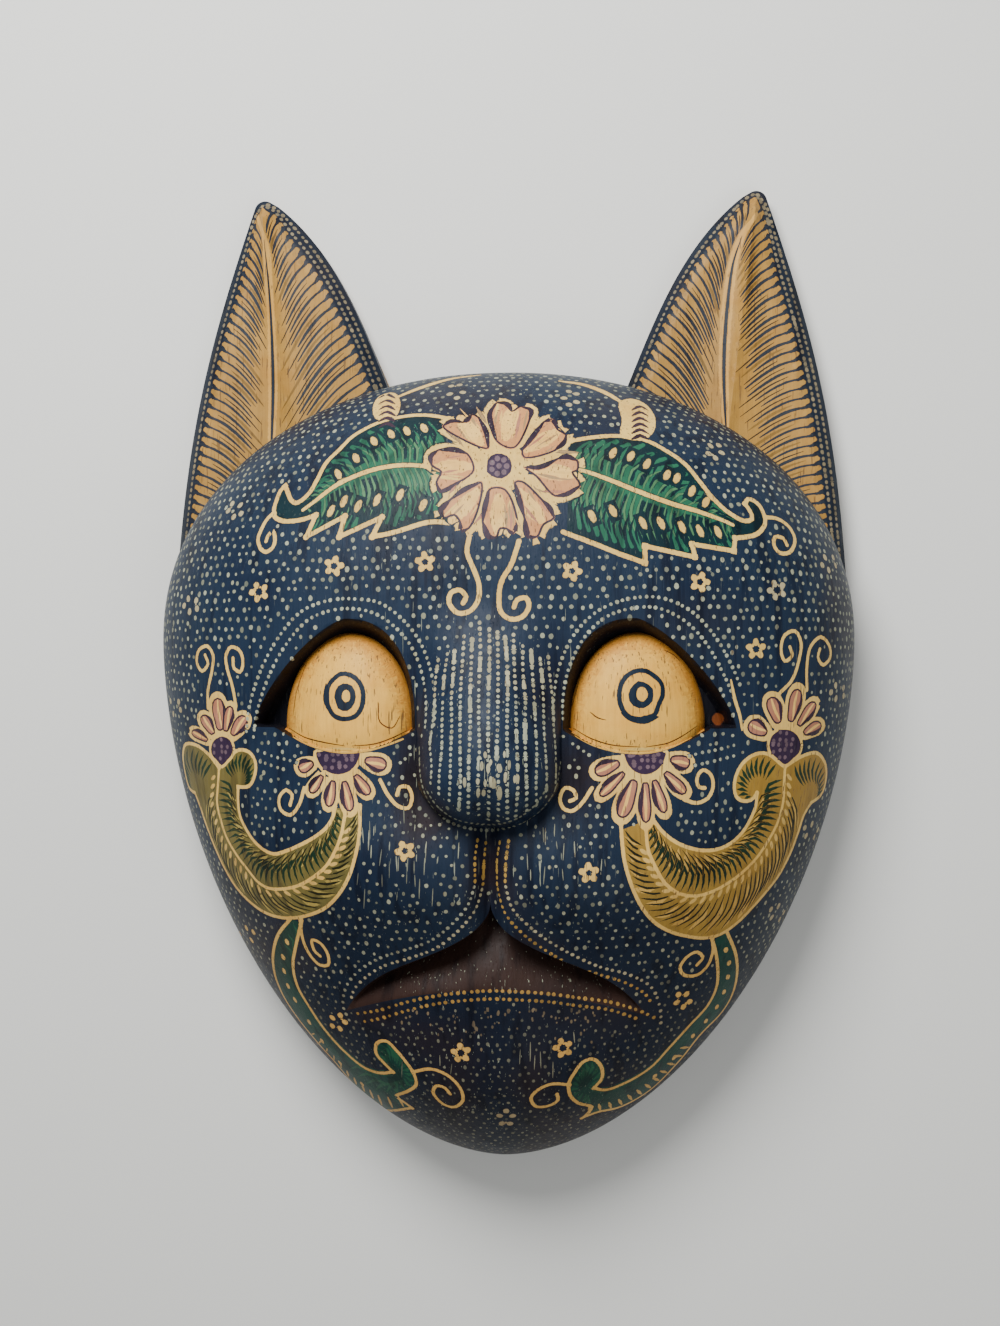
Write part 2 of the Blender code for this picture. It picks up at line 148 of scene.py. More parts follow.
NOSE_TOP_Y = CENTRE_Y + 0.055 * FACE_LENGTH
NOSE_TIP_Y = CENTRE_Y - 0.158 * FACE_LENGTH
NOSE_HALF_WIDTH = 0.192 * HALF_WIDTH
NOSE_DROP = 0.065 * FACE_LENGTH
NOSE_HEIGHT = 0.0138
NOSE_TIP_ROUNDNESS = 0.5
NOSE_TOP_ROUNDNESS = 1.6
CHEEK_X = 0.50 * HALF_WIDTH
CHEEK_Y = CENTRE_Y - 0.27 * FACE_LENGTH
CHEEK_SIZE = 0.26 * HALF_WIDTH
CHEEK_HEIGHT = 0.004
MUZZLE_X = 0.19 * HALF_WIDTH
MUZZLE_Y = CENTRE_Y - 0.288 * FACE_LENGTH
MUZZLE_WIDE = 0.23 * HALF_WIDTH
MUZZLE_HIGH = 0.075 * FACE_LENGTH
MUZZLE_HEIGHT = 0.0055
LIP_GROOVE_DEPTH = 0.0035
LIP_GROOVE_WIDTH = 0.030 * HALF_WIDTH
CHIN_BALL_Y = CENTRE_Y - 0.535 * FACE_LENGTH
CHIN_BALL_WIDE = 0.24 * HALF_WIDTH
CHIN_BALL_HIGH = 0.07 * FACE_LENGTH
CHIN_BALL_HEIGHT = 0.0025
EYE_X = 0.387 * HALF_WIDTH
EYE_Y = CENTRE_Y - 0.107 * FACE_LENGTH
BALL_WIDE = 0.182 * HALF_WIDTH
BALL_HIGH = 0.113 * FACE_LENGTH
BALL_LOW = 0.055 * FACE_LENGTH
SOCKET_OUTER = 0.264 * HALF_WIDTH
SOCKET_INNER = 0.192 * HALF_WIDTH
SOCKET_HIGH = 0.129 * FACE_LENGTH
OUTER_POWER = 1.35
INNER_POWER = 2.4
SOCKET_DEPTH = 0.008
SOCKET_WALL = 0.0024
BALL_PROUD = 0.001
LID_SAG = 0.028 * FACE_LENGTH
LID_WALL = 0.0008
LID_HALF_WIDTH = 0.197 * HALF_WIDTH
BALL_SHOULDER = 0.86
MOUTH_HALF_WIDTH = 0.411 * HALF_WIDTH
MOUTH_TOP_Y = CENTRE_Y - 0.313 * FACE_LENGTH
MOUTH_LOW_Y = CENTRE_Y - 0.419 * FACE_LENGTH
MOUTH_FALL = 0.1406 * FACE_LENGTH
MOUTH_LOW_FALL = MOUTH_TOP_Y - MOUTH_FALL - MOUTH_LOW_Y
MOUTH_DEPTH = 0.009
MOUTH_OPEN_FULL = 0.060 * FACE_LENGTH
MOUTH_FLOOR_POWER = 1.2
LIP_BOW = 0.70
LIP_WALL = 0.001


def smooth(share):
    """0 below 0, 1 above 1, and an even rise between."""
    share = np.clip(share, 0, 1)
    return share * share * (3 - 2 * share)


def bell(x, y, wide, high):
    """1 at the middle of a soft mound, falling away to 0 all round."""
    return np.exp(-((x / wide) ** 2) - (y / high) ** 2)


def belt_radius(angle):
    """The face's outline in plan: how far its widest line is from the dome's centre."""
    above = np.sin(angle) > 0
    reach = np.where(above, CROWN_Y - CENTRE_Y, CENTRE_Y - CHIN_Y)
    power = np.where(above, BELT_POWER_ABOVE, BELT_POWER_BELOW)
    across, along = np.abs(np.cos(angle) / HALF_WIDTH), np.abs(np.sin(angle) / reach)
    return (across**power + along**power) ** (-1 / power)


def dome_height(share):
    """The dome's height at a share of the way from its centre out to the belt."""
    return BELT_HEIGHT + (CROWN_HEIGHT - BELT_HEIGHT) * (1 - share**DOME_POWER) ** (1 / DOME_POWER)


def from_centre(spots):
    """The angles of places about the dome's centre, and their distances as shares of the belt's."""
    across, along = spots[:, 0], spots[:, 1] - CENTRE_Y
    angle = np.arctan2(along, across)
    return angle, np.hypot(across, along) / belt_radius(angle)


turn = np.linspace(0, math.pi / 2, 600)
below_belt = np.linspace(0, 1, 30)[1:]
PLAN = np.append(np.sin(turn), 1 - BELT_TUCK / HALF_WIDTH * below_belt**2)
RISE = np.append(dome_height(np.sin(turn)), BELT_HEIGHT * (1 - below_belt))
SKIN = np.append(0, np.cumsum(np.hypot(np.diff(PLAN), np.diff(RISE) / HALF_WIDTH)))
BELT_AT = SKIN[np.argmax(PLAN)]


def nose(x, y):
    """A ridge that widens and rises from between the brows to a round, sharply cut tip."""
    drop = np.minimum(y - NOSE_TIP_Y, 0) / NOSE_DROP
    edge = np.minimum(np.hypot(x / NOSE_HALF_WIDTH, drop), 1)
    up = np.clip((y - NOSE_TIP_Y) / (NOSE_TOP_Y - NOSE_TIP_Y), 0, 1)
    roundness = NOSE_TIP_ROUNDNESS + (NOSE_TOP_ROUNDNESS - NOSE_TIP_ROUNDNESS) * up
    return NOSE_HEIGHT * smooth(1 - up) * (1 - edge * edge) ** roundness


def soft_forms(x, y):
    """Cheeks, upper lip pads, the groove between them and the ball of the chin."""
    side = np.abs(x)
    height = CHEEK_HEIGHT * bell(side - CHEEK_X, y - CHEEK_Y, CHEEK_SIZE, CHEEK_SIZE)
    height += MUZZLE_HEIGHT * bell(side - MUZZLE_X, y - MUZZLE_Y, MUZZLE_WIDE, MUZZLE_HIGH)
    height += CHIN_BALL_HEIGHT * bell(x, y - CHIN_BALL_Y, CHIN_BALL_WIDE, CHIN_BALL_HIGH)
    along = smooth((NOSE_TIP_Y - y) / NOSE_DROP) * smooth((y - MOUTH_LOW_Y) / (MOUTH_TOP_Y - MOUTH_LOW_Y))
    return height - LIP_GROOVE_DEPTH * along * np.exp(-((x / LIP_GROOVE_WIDTH) ** 2))


def lid_line(out):
    """How far the lower lid sags below the corners of the eye, at a distance out from its middle."""
    return -LID_SAG * np.maximum(0, 1 - (out / LID_HALF_WIDTH) ** 2)


def socket_share(out, up):
    """0 at the middle of the eye socket and 1 on its rim. Its outer corner is pulled to a point."""
    wide = np.where(out > 0, SOCKET_OUTER, SOCKET_INNER)
    power = np.where(out > 0, OUTER_POWER, INNER_POWER)
    return ((np.abs(out) / wide) ** power + (np.maximum(up, 0) / SOCKET_HIGH) ** power) ** (1 / power)


def ball_share(out, up):
    """0 at the middle of the eyeball and 1 on its edge."""
    return np.hypot(out / BALL_WIDE, up / np.where(up > 0, BALL_HIGH, BALL_LOW))


def pit(out, up):
    """The socket's own depth."""
    wall = smooth((1 - socket_share(out, up)) * SOCKET_INNER / SOCKET_WALL)
    return -SOCKET_DEPTH * wall * smooth((up - lid_line(out)) / LID_WALL)


def ball_rise(out, up):
    """The eyeball's height against the face round it."""
    edge = np.minimum(ball_share(out, up), 1)
    return (SOCKET_DEPTH + BALL_PROUD) * np.sqrt(1 - edge * edge) - SOCKET_DEPTH


def eye(x, y):
    """The socket's depth and the eyeball that fills it, against the face round them."""
    out, up = np.abs(x) - EYE_X, y - EYE_Y
    deep = pit(out, up)
    cut = np.where(ball_share(out, up) < 1, np.maximum(deep, ball_rise(out, up)), deep)
    return np.where((socket_share(out, up) >= 1) | (up <= lid_line(out)), 0, cut)


def lip_line(x):
    """The lower edge of the upper lip, which falls from the peak under the nose to the corners."""
    share = np.minimum(1, np.abs(x) / MOUTH_HALF_WIDTH)
    return MOUTH_TOP_Y - MOUTH_FALL * (LIP_BOW * share**0.5 + (1 - LIP_BOW) * share**6)


def low_line(x):
    """Where the floor of the mouth comes back out to the chin."""
    return MOUTH_LOW_Y + MOUTH_LOW_FALL * np.minimum(1, np.abs(x) / MOUTH_HALF_WIDTH) ** 2


def mouth(x, y):
    """The mouth's floor, deepest under the lip and rising towards the chin."""
    top, low = lip_line(x), low_line(x)
    inside = (np.abs(x) < MOUTH_HALF_WIDTH) & (y > low) & (y < top)
    span = np.maximum(top - low, 1e-6)
    floor_share = np.clip((y - low) / span, 0, 1) ** MOUTH_FLOOR_POWER
    depth = MOUTH_DEPTH * smooth(span / MOUTH_OPEN_FULL) * floor_share * smooth((top - y) / LIP_WALL)
    return np.where(inside, -depth, 0)


def plan_of(skin_points):
    """The places in plan of points of the face's skin laid out flat, and how far down the skin they are."""
    angle, skin = from_centre(skin_points)
    reach = belt_radius(angle) * np.interp(skin, SKIN, PLAN)
    return reach * np.cos(angle), CENTRE_Y + reach * np.sin(angle), skin


def face_place(skin_points):
    """The places on the carved face of points of its skin laid out flat."""
    x, y, skin = plan_of(skin_points)
    fade = smooth((BELT_AT - skin) / (CARVING_FADE * BELT_AT))
    carved = (nose(x, y) + soft_forms(x, y) + eye(x, y) + mouth(x, y)) * fade
    return np.stack((x, y, np.interp(skin, SKIN, RISE) + carved), axis=-1)


def unroll(plan_points):
    """The points of the flat skin for places in plan inside the belt."""
    angle, share = from_centre(plan_points)
    inside = SKIN <= BELT_AT
    skin = belt_radius(angle) * np.interp(share, PLAN[inside], SKIN[inside])
    return np.stack((skin * np.cos(angle), CENTRE_Y + skin * np.sin(angle)), axis=-1)


def steepness(place, flat_points, reach=0.0004):
    """How a surface's places change along the two directions of its flat points."""
    columns = []
    for step in ((reach, 0), (0, reach)):
        columns.append((place(flat_points + step) - place(flat_points - step)) / (2 * reach))
    return np.stack(columns, axis=-1)


def found_on(place, pixels, guess):
    """The flat points whose places are seen at pixels, from a first guess, by small corrected steps."""

    def seen(spots):
        return seen_at(place(spots))

    best, best_miss = guess.copy(), np.full(len(guess), np.inf)
    flat_points = guess.copy()
    for _ in range(12):
        miss = pixels - seen(flat_points)
        far = np.hypot(*miss.T)
        closer = far < best_miss
        best[closer], best_miss[closer] = flat_points[closer], far[closer]
        slope = steepness(seen, flat_points, SIGHT_REACH) + np.eye(2) * 1e-9
        step = np.linalg.solve(slope, miss[..., None])[..., 0]
        short = np.minimum(1, SIGHT_STEP / np.maximum(np.hypot(*step.T), 1e-9)) * 0.9
        flat_points = flat_points + step * short[:, None]
    return best


def on_face(pixels):
    """The flat points of the face's skin that are seen at pixels of the photograph."""
    height = np.full(len(pixels), 0.03)
    for _ in range(14):
        spots = sight_line(pixels, height)
        share = np.minimum(from_centre(spots)[1], 0.995)
        height = (height + dome_height(share)) / 2
    return found_on(face_place, pixels, unroll(spots[:, :2]))


# The wax drawing: lines and drops of hot wax, laid on the wood before each dye, so that they stay light.
# A drawing is a list of marks. A soft mark is a strip or a patch whose edge the material draws a little
# uneven, as a wax line's edge is, and a fill is a plain area of one dye that lies under the marks.
DYES = {
    "indigo": (0.011, 0.023, 0.046),
    "wax": (0.80, 0.53, 0.145),
    "drop": (0.33, 0.35, 0.25),
    "bone": (0.43, 0.40, 0.25),
    "stem": (0.005, 0.045, 0.030),
    "tan": (0.42, 0.27, 0.12),
    "leaf": (0.018, 0.120, 0.062),
    "moss": (0.070, 0.185, 0.080),
    "teal": (0.003, 0.020, 0.026),
    "petal": (0.60, 0.275, 0.105),
    "glow": (0.86, 0.53, 0.15),
    "rose": (0.44, 0.19, 0.115),
    "boss": (0.036, 0.018, 0.044),
    "shade": (0.040, 0.020, 0.034),
    "olive": (0.165, 0.130, 0.034),
    "gold": (0.34, 0.200, 0.034),
    "olive_pale": (0.40, 0.31, 0.080),
    "gold_pale": (0.60, 0.38, 0.090),
    "ear": (0.42, 0.230, 0.050),
    "ear_light": (0.62, 0.35, 0.085),
    "ear_line": (0.030, 0.022, 0.016),
    "ear_blue": (0.022, 0.028, 0.038),
    "ear_border": (0.012, 0.019, 0.032),
    "husk": (0.27, 0.22, 0.13),
    "faded": (0.46, 0.39, 0.215),
    "ink": (0.008, 0.018, 0.034),
    "bare": (0.80, 0.46, 0.086),
    "rust": (0.26, 0.070, 0.018),
    "mauve": (0.15, 0.095, 0.115),
    "vein": (0.020, 0.020, 0.006),
    "fern": (0.010, 0.034, 0.016),
}
MARK_REACH = 1.25
WIDEST_STEP = 4.2
BARB_STEP = 9.0
WAX_LINE = 0.0012
FINE_WAX_LINE = 0.00092
chance = np.random.default_rng(7)


def curve_through(points, closed=False, step=WIDEST_STEP):
    """Points a few pixels apart on a smooth curve through the given pixels."""
    points = np.asarray(points, float)
    if closed:
        before, after = points[-1:], points[:2]
    else:
        before, after = 2 * points[:1] - points[1:2], 2 * points[-1:] - points[-2:-1]
    knots = np.concatenate((before, points, after))
    found = []
    for at in range(len(knots) - 3):
        a, b, c, d = knots[at : at + 4]
        spans = [max(np.hypot(*gap), 1e-6) ** 0.5 for gap in (b - a, c - b, d - c)]
        leave = (b - a) / spans[0] - (c - a) / (spans[0] + spans[1]) + (c - b) / spans[1]
        arrive = (c - b) / spans[1] - (d - b) / (spans[1] + spans[2]) + (d - c) / spans[2]
        leave, arrive = leave * spans[1], arrive * spans[1]
        count = max(1, int(math.ceil(np.hypot(*(c - b)) / step)))
        for share in np.arange(count) / count:
            cube, square = share**3, share**2
            found.append(
                (2 * cube - 3 * square + 1) * b
                + (cube - 2 * square + share) * leave
                + (3 * square - 2 * cube) * c
                + (cube - square) * arrive
            )
    if not closed:
        found.append(points[-1])
    return np.array(found)


def measured(points, closed=False, step=2.0):
    """A smooth curve through pixels, and how far along it each of its points lies."""
    path = curve_through(points, closed, step)
    return path, np.append(0, np.cumsum(np.hypot(*np.diff(path, axis=0).T)))


def places_at(path, along, wanted):
    """The places on a measured curve at the wanted lengths."""
    return np.stack([np.interp(wanted, along, path[:, axis]) for axis in (0, 1)], axis=-1)


def shares_along(points, shares):
    """The places at shares of the way along a curve."""
    path, along = measured(points)
    return places_at(path, along, np.clip(shares, 0, 1) * along[-1])


class Drawing:
    """The marks on one surface, in the order in which they are laid, all given in pixels."""

    def __init__(self):
        self.marks = []

    def fill(self, outline, dye):
        """A plain area of one dye."""
        self.marks.append({"kind": "fill", "line": np.asarray(outline, float), "dye": dye})

    def line(self, points, wide=WAX_LINE, dye="wax", closed=False, taper=0.0, tone=1.0, step=WIDEST_STEP):
        """A line of the given real width. A taper of 1 brings both its ends to a point."""
        path = curve_through(points, closed, step)
        if closed:
            path = np.concatenate((path, path[:1]))
        share = np.linspace(0, 1, len(path))
        widths = wide * (1 - taper * (2 * share - 1) ** 2)
        mark = {"kind": "line", "line": path, "dye": dye, "wide": widths, "closed": closed, "tone": tone}
        self.marks.append(mark)

    def spot(self, centre, size, dye="drop", lean=(1.0, 0.0), stretch=1.0, tone=1.0):
        """A drop of the given real radius, drawn out by stretch along its lean."""
        centre = np.asarray(centre, float)
        mark = {"kind": "spot", "line": centre[None], "dye": dye, "size": size}
        self.marks.append({**mark, "lean": np.asarray(lean, float), "stretch": stretch, "tone": tone})

    def row(self, points, gap, size, dye="drop", closed=False, stretch=1.0, tone=1.0, run=0.0):
        """Drops at an even gap, in pixels, along a curve. A share of them run into the next ones."""
        path, along = measured(points, closed, 1.5)
        for at in np.arange(gap / 2, along[-1], gap):
            near = at + chance.normal(0, 0.06) * gap
            spot, ahead = places_at(path, along, np.array((near, near + 2)))
            lean = ahead - spot if np.hypot(*(ahead - spot)) > 0.1 else (1.0, 0.0)
            spread = size * chance.uniform(0.85, 1.15)
            drawn_out = stretch * (chance.uniform(1.7, 3.0) if chance.uniform() < run else 1.0)
            self.spot(spot, spread, dye, lean, drawn_out, tone * chance.uniform(0.75, 1.1))

    def blossom(self, centre, size=10.5, dye="wax", lobes=5, turned=0.3):
        """A small flower of round drops about a bare middle, of the given radius in pixels."""
        centre = np.asarray(centre, float)
        for turn in turned + 2 * math.pi * np.arange(lobes) / lobes:
            out = np.array((math.cos(turn), math.sin(turn)))
            tone = chance.uniform(0.85, 1.05)
            self.spot(centre + 0.66 * size * out, 0.00080 * size / 10.5, dye, out, 1.15, tone)


def joined(*pieces):
    """One outline from curves that meet at corners."""
    return np.concatenate([curve_through(piece)[:-1] for piece in pieces])


def inside(outline, spots):
    """Whether spots lie within a closed outline."""
    within = np.zeros(len(spots), bool)
    for (x1, y1), (x2, y2) in zip(outline, np.roll(outline, -1, axis=0)):
        crosses = (y1 > spots[:, 1]) != (y2 > spots[:, 1])
        at = x1 + (spots[:, 1] - y1) / (y2 - y1 if y2 != y1 else 1e-12) * (x2 - x1)
        within ^= crosses & (spots[:, 0] < at)
    return within


face = Drawing()

# The crown's two leaves are outlined in wax and dyed dark teal, with lighter green barbs brushed out
# from a wax midrib and seeds of wax between them.
LEFT_LEAF_TOP = [
    (447, 418), (425, 415), (400, 417), (375, 424), (352, 437), (340, 449), (326, 463), (318, 478),
    (310, 492), (302, 500), (296, 503), (291, 500), (287, 490), (285, 486),
]
LEFT_LEAF_HOOK = [
    (285, 486), (281, 490), (277, 499), (274, 510), (275, 517), (283, 521), (300, 520), (316, 515)
]
LEFT_LEAF_TEETH = [(316, 515), (306, 537), (345, 516), (339, 537), (382, 517), (372, 537)]
LEFT_LEAF_FOOT = [(372, 537), (395, 532), (430, 522), (452, 523)]
LEFT_LEAF_RIB = [(303, 510), (315, 501), (335, 486), (360, 474), (385, 467), (410, 465), (440, 468)]
LEFT_LEAF_SEEDS = ((338, 474), (356, 458), (374, 441), (391, 434), (407, 431), (424, 428))
LEFT_LEAF_LOW_SEEDS = ((331, 511), (344, 501), (358, 506), (377, 500), (400, 495), (423, 505))
LEFT_LEAF_TENDRIL = [
    (274, 513), (268, 518), (262, 528), (258, 540), (261, 549), (266, 552), (273, 547), (275, 538),
    (273, 531), (268, 536), (266, 541),
]
RIGHT_LEAF_TOP = [
    (570, 441), (595, 437), (620, 436), (645, 440), (665, 450), (685, 464), (700, 482), (712, 497),
    (728, 512), (745, 521), (752, 519), (750, 511), (745, 504),
]
RIGHT_LEAF_HOOK = [
    (745, 504), (748, 499), (757, 503), (763, 512), (765, 524), (757, 534), (745, 537), (735, 538)
]
RIGHT_LEAF_TEETH = [(735, 538), (734, 551), (692, 544), (695, 557), (645, 546), (645, 563)]
RIGHT_LEAF_FOOT = [(645, 563), (620, 554), (590, 542), (563, 532)]
RIGHT_LEAF_RIB = [
    (733, 525), (722, 520), (700, 512), (670, 503), (640, 492), (610, 480), (588, 472), (572, 468)
]
RIGHT_LEAF_SEEDS = ((613, 453), (631, 456), (647, 464), (667, 475), (677, 478), (692, 491), (706, 502))
RIGHT_LEAF_LOW_SEEDS = ((592, 516), (613, 511), (643, 523), (661, 523), (682, 527), (700, 531), (718, 532))
RIGHT_LEAF_TENDRIL = [
    (765, 517), (778, 519), (790, 528), (795, 541), (790, 552), (780, 553), (774, 545), (775, 537),
    (783, 538), (787, 545),
]


def barbs(
    outline, rib, edge, count, dye, wide, reach=0.84, drift=-0.07, bow=0.16, taper=0.55, start=0.03, off=0.0
):
    """Curved strokes from a midrib out towards an edge, both given from tip to foot, inside an outline."""
    shares = np.linspace(start, 0.97, count)
    roots = shares_along(rib, shares)
    tips = shares_along(edge, shares + drift)
    for root, tip in zip(roots, tips):
        start_at = root + (tip - root) * off
        tip = root + (tip - root) * reach * chance.uniform(0.93, 1.04)
        way = tip - start_at
        side = np.array((-way[1], way[0])) * bow
        path = [start_at, start_at + way * 0.5 + side, tip]
        if not inside(outline, np.array(path)).all():
            continue
        wide_here, tone = wide * chance.uniform(0.8, 1.15), chance.uniform(0.85, 1.12)
        face.line(path, wide_here, dye, taper=taper, tone=tone, step=BARB_STEP)


def leaf(top, hook, teeth, foot, rib, seeds, low_seeds, tendril, turned):
    """One leaf. Turned is 1 where its tip points left and -1 where it points right."""
    points = [[teeth[at], teeth[at + 1]] for at in range(len(teeth) - 1)]
    pieces = [top, hook, *points, foot]
    outline = joined(*pieces)
    low_edge = [hook[-1], *teeth[1::2], *foot[1:]]
    face.fill(outline, "teal")
    upper = top[::-1]
    barbs(outline, rib, upper, 17, "leaf", 0.0018, 0.86, bow=0.22 * turned, taper=0.35)
    barbs(outline, rib, low_edge, 20, "leaf", 0.0017, 0.86, drift=-0.01, bow=-0.14 * turned, taper=0.35)
    face.line(rib[1:], 0.0038, "leaf", taper=0.6)
    barbs(outline, rib, upper, 22, "moss", 0.0007, 0.62, drift=-0.05, bow=0.2 * turned, taper=0.9)
    barbs(outline, rib, low_edge, 26, "moss", 0.0007, 0.66, drift=0.0, bow=-0.14 * turned, taper=0.9)
    barbs(outline, rib, upper, 26, "teal", 0.0006, 0.80, drift=-0.06, bow=0.2 * turned, taper=0.9, off=0.42)
    barbs(
        outline, rib, low_edge, 30, "teal", 0.0006, 0.80, drift=-0.01, bow=-0.14 * turned, taper=0.9,
        off=0.40
    )
    for group, lean in ((seeds, (0.5 * turned, 1.0)), (low_seeds, (0.45 * turned, -1.0))):
        for seed in group:
            face.spot(seed, 0.00122, "teal", lean, 1.75)
        for seed in group:
            face.spot(seed, 0.00084, "wax", lean, 2.0, chance.uniform(0.85, 1.0))
    face.line(rib, 0.0013, taper=0.3)
    for piece in pieces:
        face.line(piece)
    face.line(tendril, 0.00105)


leaf(
    LEFT_LEAF_TOP, LEFT_LEAF_HOOK, LEFT_LEAF_TEETH, LEFT_LEAF_FOOT,
    LEFT_LEAF_RIB, LEFT_LEAF_SEEDS, LEFT_LEAF_LOW_SEEDS, LEFT_LEAF_TENDRIL, 1,
)
leaf(
    RIGHT_LEAF_TOP, RIGHT_LEAF_HOOK, RIGHT_LEAF_TEETH, RIGHT_LEAF_FOOT,
    RIGHT_LEAF_RIB, RIGHT_LEAF_SEEDS, RIGHT_LEAF_LOW_SEEDS, RIGHT_LEAF_TENDRIL, -1,
)

# Two buds at the top of the crown: each is a bulb kept pale under wax, with brushed arcs across it,
# on a waxed tail that runs to the middle of the forehead.
BUDS = (
    ([(378, 417), (376, 405), (382, 396), (392, 394), (397, 401), (396, 412), (389, 418)], (387, 406)),
    (
        [(622, 404), (632, 400), (644, 405), (652, 417), (651, 430), (643, 437), (624, 435), (625, 420)],
        (640, 418)
    ),
)
BUD_TAILS = (
    [(395, 398), (420, 388), (450, 379), (480, 375)], [(624, 404), (608, 394), (585, 385), (560, 381)]
)
BUD_ARC_GAP = 5.8
for outline, _ in BUDS:
    face.line(outline, 0.0016, closed=True)
    face.fill(curve_through(outline, True), "wax")
for tail in BUD_TAILS:
    face.line(tail, 0.0022, taper=0.6)
for _, (x, y) in BUDS:
    for step in range(-2, 4):
        arc = [(x + across, y + step * BUD_ARC_GAP + 0.06 * across * across) for across in (-8, 0, 8)]
        face.line(arc, dye="shade", taper=0.7)

# The crown flower: a dark boss with small drops, ringed by eight heart-shaped pink petals. The petals
# were kept pale under wax, so a broad pale seam runs round each, with a dark brushed line inside it.
CROWN_BOSS = (499, 466)
PETAL_DYES = (("rose", 1.0), ("tan", 0.9), ("glow", 0.9), ("wax", 0.95))
PETAL_STROKES = 9
BOSS_DROP = 2.9
CROWN_PETALS = (
    [
        (496, 442), (489, 414), (496, 402), (506, 403), (512, 411), (521, 406), (532, 410), (530, 421),
        (514, 449),
    ],
    [
        (442, 426), (450, 421), (463, 422), (467, 420), (472, 414), (479, 417), (487, 433), (489, 449),
        (457, 437),
    ],
    [
        (431, 465), (430, 456), (438, 449), (454, 449), (468, 453), (475, 470), (466, 479), (440, 492),
        (436, 483), (441, 472),
    ],
    [
        (482, 481), (466, 488), (450, 499), (440, 511), (443, 518), (454, 515), (460, 522), (462, 532),
        (469, 529), (479, 508),
    ],
    [
        (489, 488), (484, 509), (482, 522), (489, 538), (496, 538), (500, 529), (507, 529), (514, 534),
        (518, 522), (505, 488),
    ],
    [
        (514, 481), (519, 499), (524, 518), (529, 538), (537, 538), (544, 525), (555, 518), (551, 509),
        (542, 499), (521, 480),
    ],
    [
        (523, 467), (539, 467), (558, 458), (567, 456), (578, 460), (578, 470), (573, 472), (581, 486),
        (567, 495), (555, 497), (535, 476),
    ],
    [
        (521, 451), (535, 433), (544, 421), (553, 419), (558, 429), (567, 435), (565, 442), (555, 451),
        (523, 458),
    ],
)
CROWN_TENDRILS = (
    [
        (469, 538), (467, 552), (474, 570), (479, 585), (478, 600), (470, 611), (458, 613), (449, 603),
        (451, 593), (460, 590), (466, 597), (463, 603),
    ],
    [
        (519, 541), (511, 565), (502, 580), (499, 597), (501, 612), (510, 619), (522, 617), (529, 606),
        (526, 598), (517, 600), (514, 607),
    ],
)


def shrunk(loop, share):
    """A loop drawn in towards its middle."""
    loop = np.array(loop, float)
    middle = loop.mean(axis=0)
    return middle + (loop - middle) * share


def disc(centre, wide, high, wobble=0.0, count=14):
    """An upright oval about a centre, in pixels, a little uneven where a hand drew it."""
    spread = 1 + wobble * chance.normal(0, 1, count)
    turns = 2 * math.pi * np.arange(count) / count
    across, up = wide * spread * np.cos(turns), high * spread * np.sin(turns)
    return np.stack((centre[0] + across, centre[1] + up), axis=-1)


for tendril in CROWN_TENDRILS:
    face.line(tendril)
for petal in CROWN_PETALS:
    face.line(petal, 0.0030, closed=True)
face.fill(disc(CROWN_BOSS, 27, 25), "wax")
for petal in CROWN_PETALS:
    face.fill(curve_through(petal, True), "petal")
for petal in CROWN_PETALS:
    loop = shrunk(petal, 0.95)
    middle = loop.mean(axis=0)
    way = middle - CROWN_BOSS
    face.line([middle - way * 0.42, middle, middle + way * 0.22], 0.0042, "glow", taper=0.5, step=BARB_STEP)
    across = np.array((-way[1], way[0]))
    for _ in range(PETAL_STROKES):
        start = middle + across * chance.uniform(-0.34, 0.34) - way * chance.uniform(0.1, 0.4)
        end = start + way * chance.uniform(0.18, 0.5) + across * chance.uniform(-0.05, 0.05)
        dye, tone = PETAL_DYES[chance.integers(4)]
        face.line([start, end], chance.uniform(0.0004, 0.0009), dye, taper=0.8, tone=tone, step=BARB_STEP)
    face.line(loop, 0.00050, "shade", closed=True)
    face.line(loop[:3], 0.0013, "shade", taper=0.8)
    face.line(loop[2:5], 0.0015, "shade", taper=0.8)
    face.line(loop[-4:-1], 0.0012, "shade", taper=0.8)
face.fill(disc(CROWN_BOSS, 18, 17, 0.02), "wax")
face.fill(disc(CROWN_BOSS, 13, 13, 0.03), "boss")
for ring, count in ((0.0, 1), (7.8, 7)):
    for turn in 2 * math.pi * np.arange(count) / count:
        place = (CROWN_BOSS[0] + ring * math.cos(turn), CROWN_BOSS[1] + ring * math.sin(turn))
        face.fill(disc(place, BOSS_DROP, BOSS_DROP, 0.05, 8), "mauve")

